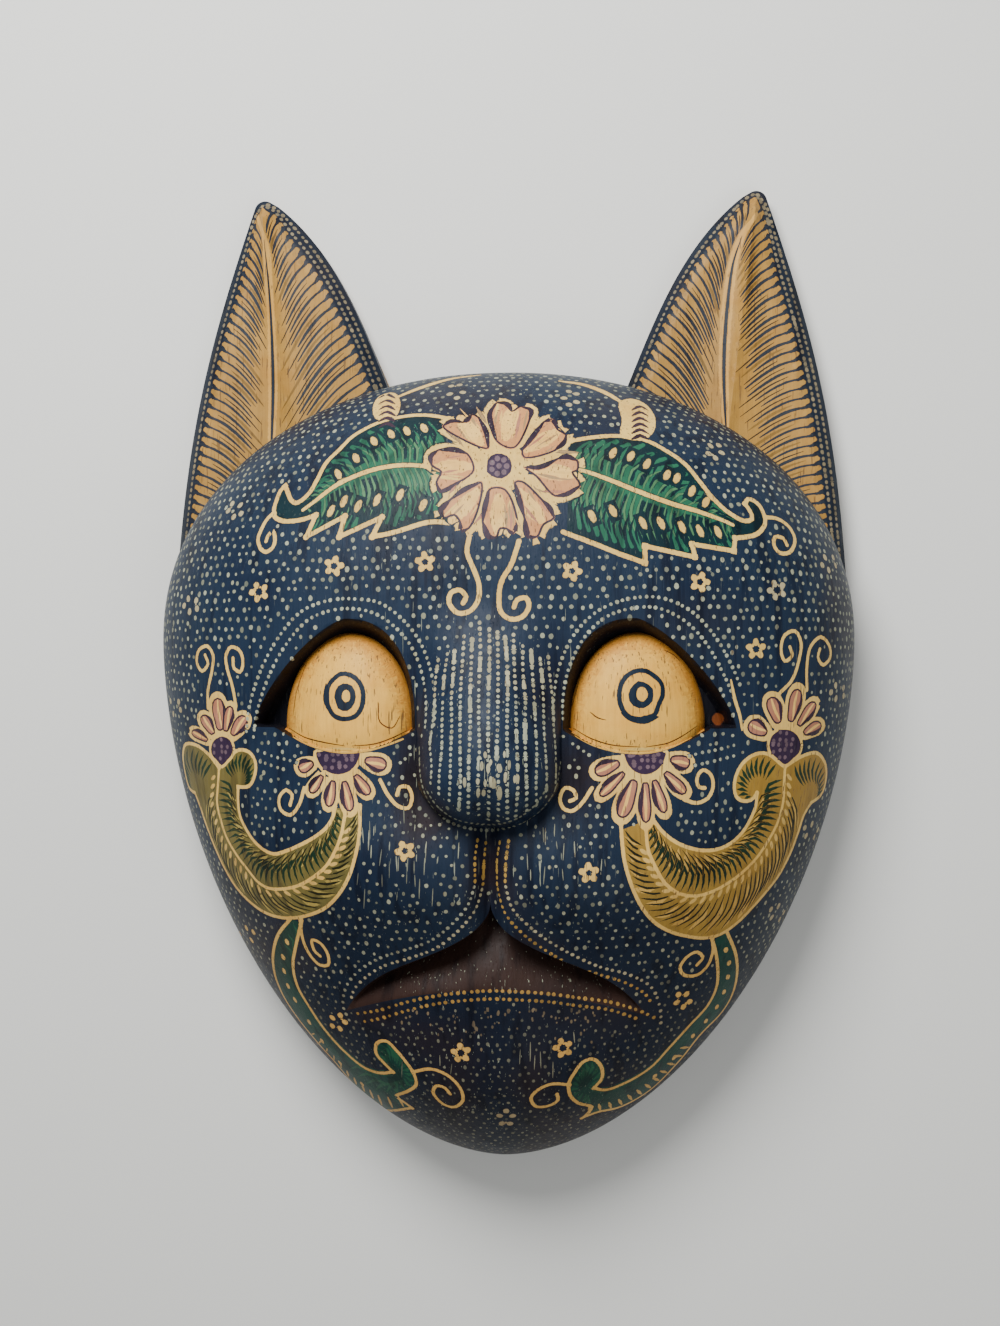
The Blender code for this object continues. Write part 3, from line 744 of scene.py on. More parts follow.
# The cheek flowers: on each cheek one under the eye and one beside it, each a dark boss with pale petals,
# joined by a crescent leaf with a wax midrib, and a stem with a hooked head that runs down to the chin.
CHEEK_FLOWERS = (
    ((222, 749), 12, 14, ((190, 730, 5), (201, 713, 6.5), (217, 694, 8), (231, 703, 6), (247, 714, 8))),
    ((785, 745), 17, 17, ((747, 722, 10), (770, 694, 9), (799, 685, 8), (817, 699, 6.5), (823, 722, 7))),
    (
        (338, 752), 23, 24,
        ((297, 770, 8), (309, 795, 6), (328, 810, 6.5), (351, 815, 7), (371, 797, 7), (389, 767, 9))
    ),
    (
        (645, 752), 22, 24,
        (
            (592, 774, 9), (597, 799, 6.5), (619, 822, 10), (646, 828, 7), (666, 817, 7), (688, 796, 7.5),
            (692, 765, 9)
        ),
    ),
)
CHEEK_TENDRILS = (
    [
        (208, 708), (208, 690), (212, 670), (213, 655), (207, 646), (199, 650), (197, 663), (202, 671),
        (208, 664), (205, 655),
    ],
    [
        (236, 706), (232, 685), (227, 668), (226, 655), (231, 647), (239, 650), (243, 662), (240, 672),
        (234, 668), (233, 658),
    ],
    [
        (780, 693), (792, 680), (799, 660), (801, 642), (795, 631), (785, 635), (781, 650), (785, 661),
        (792, 656), (790, 647),
    ],
    [
        (807, 690), (807, 665), (811, 646), (821, 637), (829, 645), (830, 658), (823, 665), (818, 657),
        (820, 649),
    ],
    [(304, 788), (299, 805), (290, 815), (281, 810), (279, 798), (286, 790), (292, 795), (290, 805)],
    [(380, 780), (388, 795), (398, 806), (408, 808), (412, 798), (408, 787), (400, 787), (397, 795)],
    [
        (592, 788), (582, 803), (572, 811), (563, 808), (560, 798), (565, 788), (573, 790), (576, 798),
        (570, 801),
    ],
    [
        (685, 800), (697, 803), (708, 798), (713, 787), (711, 775), (703, 770), (697, 778), (699, 787),
        (705, 788),
    ],
)
LEFT_CRESCENT_OUTER = [
    (219, 768), (208, 754), (196, 745), (186, 744), (183, 753), (185, 772), (190, 789), (195, 793)
]
LEFT_CRESCENT_EDGE = [
    (195, 793), (200, 806), (206, 824), (214, 845), (224, 867), (236, 887), (250, 902), (264, 912),
    (278, 917), (293, 918), (309, 915), (325, 908), (339, 894), (349, 876), (355, 857), (359, 836),
    (360, 805),
]
LEFT_CRESCENT_INNER = [
    (238, 787), (238, 802), (240, 816), (246, 829), (254, 841), (264, 850), (274, 854), (286, 851),
    (300, 845), (313, 838), (325, 829), (332, 819), (335, 808),
]
LEFT_CRESCENT_HEAD = [
    (238, 787), (249, 786), (255, 774), (255, 761), (249, 752), (239, 750), (229, 757), (219, 768)
]
LEFT_CRESCENT_RIB = [
    (219, 768), (218, 784), (217, 802), (220, 817), (226, 836), (236, 854), (248, 870), (258, 882),
    (268, 888), (281, 889), (297, 886), (312, 878), (326, 866), (335, 851), (341, 835), (345, 815),
]
RIGHT_CRESCENT_OUTER = [
    (785, 767), (794, 761), (805, 755), (817, 753), (825, 763), (826, 780), (821, 795), (811, 803)
]
RIGHT_CRESCENT_EDGE = [
    (811, 803), (804, 815), (798, 833), (790, 854), (779, 875), (766, 892), (752, 908), (737, 923),
    (721, 934), (705, 938), (686, 936), (669, 931), (653, 921), (640, 904), (630, 881), (624, 858),
    (621, 826),
]
RIGHT_CRESCENT_INNER = [
    (757, 793), (756, 805), (750, 820), (741, 834), (728, 845), (714, 850), (699, 850), (684, 846),
    (671, 839), (661, 830), (652, 818),
]
RIGHT_CRESCENT_HEAD = [
    (757, 793), (751, 800), (743, 801), (736, 796), (735, 780), (743, 763), (756, 754), (768, 754),
    (785, 767),
]
RIGHT_CRESCENT_RIB = [
    (785, 767), (784, 784), (783, 803), (777, 824), (768, 841), (758, 856), (745, 870), (728, 883),
    (711, 892), (695, 896), (678, 893), (665, 883), (655, 866), (648, 849), (646, 830),
]
RIB_DROP_GAP = 8.6
FAN_STROKES = 13


def crescent(outer, edge, inner, head, rib, dye, turned):
    """A feathered crescent leaf that hangs from a flower and sweeps under the eye."""
    outline = joined(outer, edge, inner[::-1], head)
    face.fill(outline, dye)
    for side_edge, reach in ((edge, 0.93), (inner, 0.90)):
        barbs(
            outline, rib, side_edge, 18, dye + "_pale", 0.0016, reach, 0.06, 0.1 * turned, 0.9, 0.04, 0.40
        )
    barbs(outline, rib, edge, 40, "vein", 0.00058, 0.92, 0.075, 0.10 * turned, 0.9, 0.03, 0.20)
    barbs(outline, rib, inner, 36, "fern", 0.00088, 0.72, 0.045, -0.22 * turned, 0.8, 0.04, 0.08)
    barbs(outline, rib, inner, 26, "vein", 0.00045, 0.90, 0.060, -0.22 * turned, 0.9, 0.06, 0.30)
    for points, middle in ((outer, edge[0]), (head, inner[0])):
        for tip in shares_along(points, np.linspace(0.10, 0.92, FAN_STROKES)):
            way = tip - np.array(middle, float)
            path = [middle + way * 0.42, middle + way * 0.66 + way[::-1] * 0.05, middle + way * 0.90]
            face.line(path, 0.00095, "fern", taper=0.8, step=BARB_STEP)
    path, along = measured(rib)
    for at in np.arange(10, along[-1] - 14, RIB_DROP_GAP):
        here, there = places_at(path, along, np.array((at, at + 3)))
        way = there - here
        side = np.array((-way[1], way[0])) * turned
        face.spot(here + side * 1.7, 0.00050, "wax", way * 1.2 + side, 2.3, chance.uniform(0.75, 1.0))
    face.line(rib, 0.00085)
    for piece in (outer, edge, inner, head):
        face.line(piece, FINE_WAX_LINE)


crescent(
    LEFT_CRESCENT_OUTER, LEFT_CRESCENT_EDGE, LEFT_CRESCENT_INNER, LEFT_CRESCENT_HEAD, LEFT_CRESCENT_RIB,
    "olive", 1
)
crescent(
    RIGHT_CRESCENT_OUTER, RIGHT_CRESCENT_EDGE, RIGHT_CRESCENT_INNER, RIGHT_CRESCENT_HEAD,
    RIGHT_CRESCENT_RIB, "gold", -1
)


def petal_loop(boss, radius, tip, half_wide):
    """A drop-shaped petal from a boss to its tip."""
    boss, tip = np.array(boss, float), np.array(tip, float)
    way = (tip - boss) / np.hypot(*(tip - boss))
    root = boss + way * (radius + 2)
    length = np.hypot(*(tip - root))
    side = np.array((-way[1], way[0])) * half_wide
    shape = ((0.0, 0.35), (0.35, 0.8), (0.72, 0.95), (0.95, 0.55))
    left = [root + way * length * along + side * across for along, across in shape]
    right = [root + way * length * along - side * across for along, across in reversed(shape)]
    return left + [root + way * length] + right


for tendril in CHEEK_TENDRILS:
    face.line(tendril, FINE_WAX_LINE)
for (boss, wide, high, petals), half in zip(CHEEK_FLOWERS, (False, False, True, True)):
    loops = [petal_loop(boss, min(wide, high), (x, y), size) for x, y, size in petals]
    for loop in loops:
        face.line(loop, 0.0013, closed=True)
        face.fill(curve_through(loop, True), "wax")
    rim = []
    for turn in np.linspace(0.0, math.pi if half else 2 * math.pi, 13):
        point = 4 if 1.2 < turn < 2 and not half else 0
        rim.append((boss[0] + wide * math.cos(turn), boss[1] + high * math.sin(turn) + point))
    face.fill(curve_through(rim, False), "boss")
    face.line(rim, 0.0008, closed=half)
    for loop in loops:
        inner_loop = shrunk(loop, 0.76)
        face.fill(curve_through(inner_loop, True), "rose")
        face.line([inner_loop[0], inner_loop.mean(axis=0), inner_loop[4]], 0.0008, "glow", taper=0.7)
        face.line(inner_loop, 0.00045, "shade", closed=True)
        face.line(inner_loop[:4], 0.0011, "shade", taper=0.8)
    for x in np.arange(-wide + 5, wide - 4, 6.3):
        for y in np.arange(3 if half else -high + 5, high - 3, 6.0):
            if np.hypot(x / (wide - 3.5), y / (high - 3.5)) < 1:
                drop = (boss[0] + x + chance.normal(0, 0.7), boss[1] + y + chance.normal(0, 0.7))
                face.spot(drop, 0.00052, "mauve", tone=chance.uniform(0.8, 1.2))

LEFT_STEM_EDGE = [
    (291, 918), (278, 935), (273, 955), (275, 975), (283, 995), (297, 1017), (318, 1043), (335, 1062),
    (352, 1082), (370, 1098), (387, 1110), (412, 1108),
]
LEFT_STEM_INNER = [
    (302, 920), (296, 945), (293, 965), (297, 985), (310, 1008), (325, 1030), (345, 1052), (365, 1068),
    (380, 1073), (393, 1072),
]
LEFT_STEM_HEAD = [
    (393, 1072), (384, 1063), (376, 1053), (377, 1043), (386, 1041), (396, 1050), (406, 1062), (414, 1074),
    (416, 1085), (406, 1092), (396, 1096), (404, 1102), (412, 1108),
]
RIGHT_STEM_EDGE = [
    (727, 932), (736, 955), (737, 975), (732, 995), (722, 1012), (700, 1035), (680, 1060), (650, 1090),
    (620, 1107), (598, 1112), (582, 1118),
]
RIGHT_STEM_INNER = [
    (712, 937), (717, 960), (717, 985), (708, 1005), (690, 1025), (670, 1047), (650, 1068), (625, 1083),
    (605, 1090), (594, 1088),
]
RIGHT_STEM_HEAD = [
    (594, 1088), (602, 1078), (601, 1066), (593, 1059), (583, 1062), (575, 1072), (569, 1083), (570, 1095),
    (578, 1103), (592, 1107), (588, 1113), (582, 1118),
]
STEM_TENDRILS = (
    [
        (300, 920), (303, 940), (310, 955), (320, 965), (328, 965), (328, 955), (320, 943), (312, 940),
        (314, 950), (320, 956),
    ],
    [
        (413, 1072), (430, 1069), (447, 1075), (460, 1088), (463, 1100), (455, 1107), (443, 1104),
        (433, 1092), (436, 1086), (445, 1088), (450, 1094),
    ],
    [
        (712, 938), (713, 950), (708, 965), (697, 975), (684, 975), (680, 968), (687, 957), (697, 952),
        (703, 957), (697, 965),
    ],
    [
        (570, 1085), (552, 1084), (538, 1090), (531, 1098), (535, 1106), (548, 1106), (558, 1100),
        (557, 1094),
    ],
)
LEFT_STEM_DROPS = (
    (287, 942), (283, 957), (284, 971), (288, 986), (295, 1000), (309, 1022), (322, 1041), (340, 1063),
    (362, 1084),
)
RIGHT_STEM_DROPS = (
    (726, 950), (729, 963), (728, 977), (724, 992), (717, 1007), (706, 1021), (693, 1036), (674, 1058),
    (655, 1076),
)
STEM_SHARES = np.linspace(0, 1, 22)
for edge, inner, head, drops in (
    (LEFT_STEM_EDGE, LEFT_STEM_INNER, LEFT_STEM_HEAD, LEFT_STEM_DROPS),
    (RIGHT_STEM_EDGE, RIGHT_STEM_INNER, RIGHT_STEM_HEAD, RIGHT_STEM_DROPS),
):
    outline = joined(edge, (inner + head[1:])[::-1])
    face.fill(outline, "stem")
    middle = (shares_along(edge, STEM_SHARES) + shares_along(inner, STEM_SHARES)) / 2
    face.line(inner[3:] + head[1:6], 0.0020, "leaf", taper=0.7)
    strokes = []
    for spot in curve_through(head)[::2]:
        way = (np.array(head).mean(axis=0) - spot) * 0.6
        strokes.append([spot + way * 0.2, spot + way * 0.5 + way[::-1] * (0.12, -0.12), spot + way])
    for at, spot in enumerate(middle[1:-1]):
        way = middle[at + 2] - middle[at]
        bent = way[::-1] * (0.3, -0.3)
        strokes.append([spot - way * 0.2, spot + bent, spot + way * 0.55 + bent * 1.6])
    for path in strokes:
        if inside(outline, np.array(path)).all():
            face.line(path, 0.0010, "leaf", taper=0.75, step=BARB_STEP)
    for drop in drops:
        face.spot(drop, 0.00068, "wax", (0.4, 1.0), 1.35)
    fringe = shares_along(edge, np.linspace(0.50, 0.97, 12))
    fringe_in = shares_along(inner, np.linspace(0.58, 1.0, 12))
    for low, high in zip(fringe, fringe_in):
        way = high - low
        face.line([low + way * 0.08, low + way * 0.38 + (-2, 1)], 0.0009, taper=0.5, tone=0.8)
    for piece in (edge, inner, head):
        face.line(piece, 0.00095)
for tendril in STEM_TENDRILS:
    face.line(tendril, FINE_WAX_LINE)

# The eyes are left bare: each ball keeps the colour of the wood, with a ring and a pupil brushed on it,
# fine cracks near its edge, and two rows of drops that follow the socket's rim.
LEFT_IRIS = (345, 697)
RIGHT_IRIS = (641, 695)
LEFT_SOCKET_ROW = [
    (253, 740), (257, 712), (268, 678), (285, 646), (308, 620), (333, 610), (356, 609), (376, 614),
    (396, 628), (412, 648), (422, 674), (426, 704), (425, 728),
]
LEFT_OUTER_ROW = [
    (246, 735), (249, 708), (260, 672), (278, 638), (302, 611), (331, 600), (357, 599), (380, 603),
    (402, 619), (420, 642), (431, 672), (435, 704), (434, 728),
]
RIGHT_SOCKET_ROW = [
    (563, 722), (563, 698), (569, 668), (584, 638), (606, 617), (634, 608), (658, 608), (685, 621),
    (706, 643), (722, 671), (734, 698), (742, 722),
]
RIGHT_OUTER_ROW = [
    (554, 722), (554, 696), (560, 664), (576, 632), (601, 609), (633, 598), (662, 598), (691, 611),
    (714, 635), (731, 664), (742, 690),
]
UNDER_EYE_ROWS = (
    [(262, 752), (275, 757), (288, 760), (300, 764)],
    [(262, 762), (276, 767), (290, 771)],
    [(418, 748), (410, 755), (400, 763)],
    [(686, 757), (700, 753), (716, 750), (735, 745)],
    [(692, 766), (706, 763), (722, 759), (738, 755)],
    [(570, 742), (582, 750), (592, 757)],
)
EYE_RIM_LINES = (
    [(293, 737), (304, 743), (318, 748), (342, 752), (370, 750), (390, 744), (403, 739)],
    [(575, 736), (585, 742), (601, 748), (625, 752), (650, 752), (672, 747), (689, 739)],
)
BRUSHED_BOW = [(622, 713), (632, 719), (645, 721), (658, 717)]
BRUSHED_DASH = [(326, 684), (325, 700), (330, 712)]
CORNER_LINE = [(731, 680), (735, 700), (740, 716), (742, 730)]
CORNER_SPOT = (718, 719)
CRACKS = (
    [(289, 728), (304, 737), (322, 742), (345, 746)], [(352, 746), (374, 744), (392, 738), (408, 730)],
    [(293, 716), (297, 690), (306, 664)], [(378, 702), (380, 722), (392, 728), (400, 716)],
    [(573, 728), (590, 738), (612, 745), (640, 747)], [(646, 747), (668, 743), (684, 735), (697, 726)],
    [(590, 712), (598, 718), (606, 720)], [(664, 650), (674, 655), (680, 661)], [(572, 706), (580, 678)],
)
EYE_ROW_GAP = 6.2
for iris, ring, inner, pupil in (
    (LEFT_IRIS, (18.5, 23), (11, 14), (4.2, 6.2)),
    (RIGHT_IRIS, (22, 25), (12.5, 13.5), (5.8, 7.2)),
):
    face.line(disc(iris, *ring, 0.03), 0.00125, "ink", closed=True)
    face.fill(disc(iris, *inner, 0.04), "ink")
    face.fill(disc((iris[0] + 1, iris[1] - 1), *pupil, 0.03), "bare")
face.line(BRUSHED_BOW, 0.0015, "ink", taper=0.7)
for row in (LEFT_SOCKET_ROW, LEFT_OUTER_ROW, RIGHT_SOCKET_ROW, RIGHT_OUTER_ROW):
    face.row(row, EYE_ROW_GAP, 0.00046, "drop", tone=1.1)
for row in UNDER_EYE_ROWS:
    face.row(row, 6.6, 0.00042)
face.line(CORNER_LINE, 0.0009, taper=0.5)
face.spot(CORNER_SPOT, 0.00155, "rust")
for line in EYE_RIM_LINES:
    face.line(line, 0.0008, "bare", tone=0.8, taper=0.5)
face.line(BRUSHED_DASH, 0.0011, "ink", taper=0.7)
for crack in CRACKS:
    face.line(crack, 0.00034, "rust", taper=0.6, tone=0.45)

# The nose is drawn with upright columns of drops, so close in places that they run together, and rows of
# drops follow its foot and the edges of the mouth. Worn drops, small flecks and fine upright scrapes
# show where the wood has been rubbed on the nose, the cheeks and the chin.
NOSE_COLUMNS = 14
NOSE_LEFT, NOSE_RIGHT = 430, 556
NOSE_ROW_TOP, NOSE_ROW_LOW = 622, 822
NOSE_ROW_ARCH = 34
NOSE_MIDDLE = 495
NOSE_WORN_SPOTS = 22
CHIN_FLECKS = 70
SCRAPES = ((34, 398, 852, 27, 26), (14, 556, 850, 22, 22), (12, 500, 1052, 45, 14))
NOSE_FOOT_ROWS = (
    [
        (419, 745), (421, 780), (430, 804), (448, 821), (472, 829), (495, 830), (520, 824), (540, 811),
        (555, 790), (561, 760),
    ],
    [(426, 790), (437, 806), (455, 819), (478, 824), (500, 824), (520, 817), (536, 804), (548, 786)],
)
PHILTRUM_ROWS = (
    [(478, 838), (475, 858), (475, 882)], [(486, 840), (484, 862), (483, 884)],
    [(500, 840), (497, 860), (497, 884)], [(509, 838), (506, 860), (505, 882)],
)
LIP_ROWS = (
    [
        (475, 884), (468, 905), (450, 926), (430, 941), (405, 950), (380, 958), (360, 970), (347, 985),
        (343, 1005), (350, 1022),
    ],
    [
        (483, 886), (475, 910), (457, 932), (436, 948), (410, 958), (384, 966), (366, 977), (354, 990),
        (350, 1004),
    ],
    [
        (505, 884), (512, 908), (530, 927), (550, 942), (575, 956), (600, 967), (630, 975), (652, 988),
        (660, 1008), (661, 1025),
    ],
    [
        (497, 886), (505, 913), (523, 934), (545, 950), (570, 964), (598, 974), (626, 983), (645, 994),
        (653, 1006),
    ],
)
CHIN_ROWS = (
    [
        (355, 1014), (380, 1010), (400, 1004), (430, 997), (460, 993), (490, 991), (520, 992), (550, 994),
        (580, 998), (610, 1002), (640, 1011), (655, 1018),
    ],
    [
        (362, 1022), (382, 1018), (402, 1012), (430, 1005), (460, 1001), (490, 999), (520, 1000),
        (550, 1002), (580, 1006), (610, 1010), (638, 1019),
    ],
)
for column in range(NOSE_COLUMNS):
    across = column / (NOSE_COLUMNS - 1) * 2 - 1
    x = NOSE_LEFT + (NOSE_RIGHT - NOSE_LEFT) * column / (NOSE_COLUMNS - 1)
    top = NOSE_ROW_TOP + NOSE_ROW_ARCH * abs(across) ** 1.5 + chance.normal(0, 6)
    low = NOSE_ROW_LOW - NOSE_ROW_ARCH * across * across
    downs = np.linspace(0, 1, 7)
    leans = 0.14 * (1 - downs) ** 2
    acrosses = x + (NOSE_MIDDLE - x) * leans + chance.normal(0, 0.7, 7)
    path = np.stack((acrosses, top + (low - top) * downs), axis=-1)
    face.row(path[:3], 5.9, 0.00046, "bone", stretch=1.15, tone=0.9, run=0.14)
    face.row(path[2:], 5.7, 0.00045, "drop", stretch=1.1, tone=1.1, run=0.05)
worn_spots = chance.normal(497, 14, NOSE_WORN_SPOTS), chance.normal(778, 11, NOSE_WORN_SPOTS)
for spot in zip(*worn_spots):
    size, stretch = chance.uniform(0.00034, 0.00050), chance.uniform(1.6, 3.2)
    face.spot(spot, size, "bone", (0, 1), stretch, chance.uniform(0.7, 1.0))
for row in NOSE_FOOT_ROWS:
    face.row(row, 5.6, 0.00040, "drop", stretch=1.2, tone=0.8)
for row in PHILTRUM_ROWS:
    face.row(row, 5.8, 0.00044, "gold_pale", stretch=1.15, tone=0.8, run=0.05)
for row, dye in zip(LIP_ROWS, ("drop", "bone", "bone", "gold_pale")):
    face.row(row, 6.2, 0.00045, dye, tone=0.8 if dye == "gold_pale" else 1.0)
for row in CHIN_ROWS:
    face.row(row, 6.4, 0.00047, "gold_pale", tone=0.75)
flecks = chance.uniform(400, 600, CHIN_FLECKS), 1009 + np.abs(chance.normal(0, 15, CHIN_FLECKS))
for spot in zip(*flecks):
    size, stretch = chance.uniform(0.00022, 0.00032), chance.uniform(1.0, 2.0)
    face.spot(spot, size, "husk", (0, 1), stretch, chance.uniform(0.5, 1.0))
for count, across, down, wide, tall in SCRAPES:
    for x, y in zip(chance.normal(across, wide, count), chance.normal(down, tall, count)):
        low = (x + chance.normal(0, 0.8), y + chance.uniform(6, 20))
        if 355 < x < 466 or 515 < x:
            wide = chance.uniform(0.00020, 0.00032)
            face.line([(x, y), low], wide, "drop", taper=0.5, tone=chance.uniform(0.5, 1.0))

# Small flowers are scattered over the ground between the larger motifs, each five drops of wax round a
# bare middle. Near the edge of the face they are worn to a paler, duller colour.
BLOSSOMS = (
    (334, 566), (425, 562), (259, 592), (191, 605), (235, 510), (456, 391), (571, 398), (715, 451),
    (572, 571), (700, 582), (777, 590), (829, 563), (756, 649), (838, 692), (405, 851), (589, 873),
    (811, 831), (777, 913), (683, 1000), (338, 1022), (461, 1053), (563, 1048), (506, 1118), (174, 707),
    (247, 935),
)
for across, down in BLOSSOMS:
    worn = abs(across - 505) > 265 or down < 455 or down > 1100
    face.blossom((across, down), dye="faded" if worn else "wax", turned=chance.uniform(0, 1.2))


# Painting puts a drawing into a surface. Each mark becomes edges of the mesh, as each wax line is a real
# line on the wood, so that it stays sharp from near, and each triangle keeps its own two colours: that
# of the bed under it and that of the mark over it.
NO_MARK = 9.0


def across_way(place, flat_points, ways):
    """Unit steps on the real surface: along flat ways, and square to them."""
    slope = steepness(place, flat_points)
    metric = np.einsum("nki,nkj->nij", slope, slope)
    turned = np.einsum("nij,nj->ni", metric, ways)
    side = np.stack((-turned[:, 1], turned[:, 0]), axis=-1)

    def unit(steps):
        return steps / np.sqrt(np.maximum(np.einsum("ni,nij,nj->n", steps, metric, steps), 1e-16))[:, None]

    return unit(ways), unit(side)


def strips_of(mark, place):
    """The four-cornered patches of a soft mark, with how far each runs past its ends."""
    points = mark["flat"]
    reach = MARK_REACH
    if mark["kind"] == "spot":
        way, side = across_way(place, points[:1], points[1:2] - points[:1])
        along, across = way[0] * mark["size"] * mark["stretch"] * reach, side[0] * mark["size"] * reach
        centre = points[0]
        corners = (
            centre - along - across, centre + along - across, centre + along + across,
            centre - along + across,
        )
        return [(corners, (-reach, reach))]
    ways = np.gradient(points, axis=0)
    if mark["closed"]:
        ways[0] = ways[-1] = points[1] - points[-2]
    way, side = across_way(place, points, ways)
    half = side * (mark["wide"] / 2 * reach)[:, None]
    left, right = points + half, points - half
    strips = []
    for at in range(len(points) - 1):
        strips.append(((right[at], right[at + 1], left[at + 1], left[at]), (0.0, 0.0)))
    if not mark["closed"]:
        out = way * (mark["wide"] / 2 * reach)[:, None]
        strips.append(((right[0] - out[0], right[0], left[0], left[0] - out[0]), (-reach, 0.0)))
        strips.append(((right[-1], right[-1] + out[-1], left[-1] + out[-1], left[-1]), (0.0, reach)))
    return strips


def turns_left(corners):
    """Whether a patch's corners all turn left, so that it neither folds nor crosses itself."""
    spots = np.array(corners)
    edges = np.roll(spots, -1, axis=0) - spots
    after = np.roll(edges, -1, axis=0)
    return bool((edges[:, 0] * after[:, 1] - edges[:, 1] * after[:, 0] > 1e-12).all())


def settle(drawing, find):
    """Finds the flat points of every mark."""
    pixels, counts = [], []
    for mark in drawing.marks:
        line = mark["line"]
        if mark["kind"] == "spot":
            lean = mark["lean"] / max(np.hypot(*mark["lean"]), 1e-6)
            line = np.concatenate((line, line + lean * 1.5))
        pixels.append(line)
        counts.append(len(line))
    flat_points = find(np.concatenate(pixels))
    for mark, points in zip(drawing.marks, np.split(flat_points, np.cumsum(counts)[:-1])):
        mark["flat"] = points


def paint(drawing, place, outline, lines, grid_points, ground):
    """Triangles over an outline that follow the carved lines and the marks, with each one's colours."""
    points = [tuple(spot) for spot in outline]
    edges, rings, owners = [], [list(range(len(points)))], [None]
    for line in lines:
        first = len(points)
        points += [tuple(spot) for spot in line]
        edges += [(first + at, first + at + 1) for at in range(len(line) - 1)]
    patches, patch_ends = [], []
    for order, mark in enumerate(drawing.marks):
        if mark["kind"] == "fill":
            ring = mark["flat"]
            ahead = np.roll(ring, -1, axis=0)
            if (ring[:, 0] * ahead[:, 1] - ahead[:, 0] * ring[:, 1]).sum() < 0:
                ring = ring[::-1]
            rings.append(list(range(len(points), len(points) + len(ring))))
            points += [tuple(spot) for spot in ring]
            owners.append((order, -1))
            continue
        for corners, ends in strips_of(mark, place):
            if not turns_left(corners):
                continue
            rings.append(list(range(len(points), len(points) + 4)))
            points += [tuple(spot) for spot in corners]
            owners.append((order, len(patches)))
            patches.append(corners)
            patch_ends.append(ends)
    taken = np.array(points)
    cell = np.median(np.diff(np.unique(grid_points[:, 1])))
    keys = {tuple(key) for key in np.floor(taken / (0.45 * cell)).astype(int)}
    for spot in grid_points:
        key = tuple(np.floor(spot / (0.45 * cell)).astype(int))
        if key not in keys:
            points.append(tuple(spot))
    made = delaunay_2d_cdt([Vector(spot) for spot in points], edges, rings, 1, 1e-7, True)
    flat_points = np.array([tuple(spot) for spot in made[0]])
    corners, beds, overs, patch_at, full = [], [], [], [], []
    for triangle, ids in zip(made[2], made[5]):
        if 0 not in ids:
            continue
        bed, over, patch, seen = -1, -1, -1, set()
        for owner in sorted(owners[at] for at in ids if at):
            if owner[1] < 0:
                bed = owner[0]
                over = patch = -1
                seen = set()
            else:
                over, patch = owner
                seen.add(owner[0])
        same = [at for at in seen if drawing.marks[at]["dye"] == drawing.marks[over]["dye"]]
        corners.append(triangle)
        beds.append(bed)
        overs.append(over)
        patch_at.append(patch)
        full.append(len(same) > 1)
    triangles = np.array(corners)
    bed_dyes = [ground] + [DYES[mark["dye"]] for mark in drawing.marks]
    tones = np.array([1.0] + [mark.get("tone", 1.0) for mark in drawing.marks])
    bed_colours = np.array(bed_dyes)[np.array(beds) + 1]
    over_colours = np.array(bed_dyes)[np.array(overs) + 1] * tones[np.array(overs) + 1][:, None]
    marks = np.full((len(triangles), 3, 2), NO_MARK)
    marked = np.array(patch_at) >= 0
    quads = np.array(patches)[np.array(patch_at)[marked]]
    ends = np.array(patch_ends)[np.array(patch_at)[marked]]
    spots = flat_points[triangles[marked]]

    def from_edge(start, end):
        way = end - start
        way = way / np.maximum(np.hypot(way[:, 0], way[:, 1]), 1e-12)[:, None]
        gap = spots - start[:, None]
        return np.abs(way[:, None, 0] * gap[..., 1] - way[:, None, 1] * gap[..., 0])

    right, left = from_edge(quads[:, 0], quads[:, 1]), from_edge(quads[:, 3], quads[:, 2])
    back, front = from_edge(quads[:, 0], quads[:, 3]), from_edge(quads[:, 1], quads[:, 2])
    marks[marked, :, 0] = MARK_REACH * (right - left) / np.maximum(right + left, 1e-12)
    share = back / np.maximum(back + front, 1e-12)
    marks[marked, :, 1] = ends[:, :1] + (ends[:, 1:] - ends[:, :1]) * share
    marks[np.array(full)] = 0.0
    return flat_points, triangles, bed_colours, over_colours, marks, np.array(beds)


# The ground between the motifs is covered with drops of wax in loose, even rows, smaller and fainter
# on the chin and larger on the forehead. They keep clear of the carving and of every drawn line.
DROP_GAP = 0.00255
DROP_SIZE = 0.00041
settle(face, on_face)


def ground_drops(drawing, spots):
    """Of the spots, those that keep clear of every mark and fill, as marks of their own."""
    near, clear = [], []
    for mark in drawing.marks:
        flat_points = mark["flat"][:1] if mark["kind"] == "spot" else mark["flat"]
        wide = {"spot": 0.0015, "fill": 0.0008}.get(mark["kind"])
        near.append(flat_points)
        clear.append(np.full(len(flat_points), wide) if wide else mark["wide"] / 2 + 0.0009)
    near, clear = np.concatenate(near), np.concatenate(clear)
    keep = np.ones(len(spots), bool)
    for at in range(0, len(spots), 500):
        gaps = np.hypot(*(spots[at : at + 500, None] - near[None]).transpose(2, 0, 1))
        keep[at : at + 500] = (gaps > clear).all(axis=1)
    for mark in drawing.marks:
        if mark["kind"] == "fill":
            keep &= ~inside(mark["flat"], spots)
    return spots[keep]


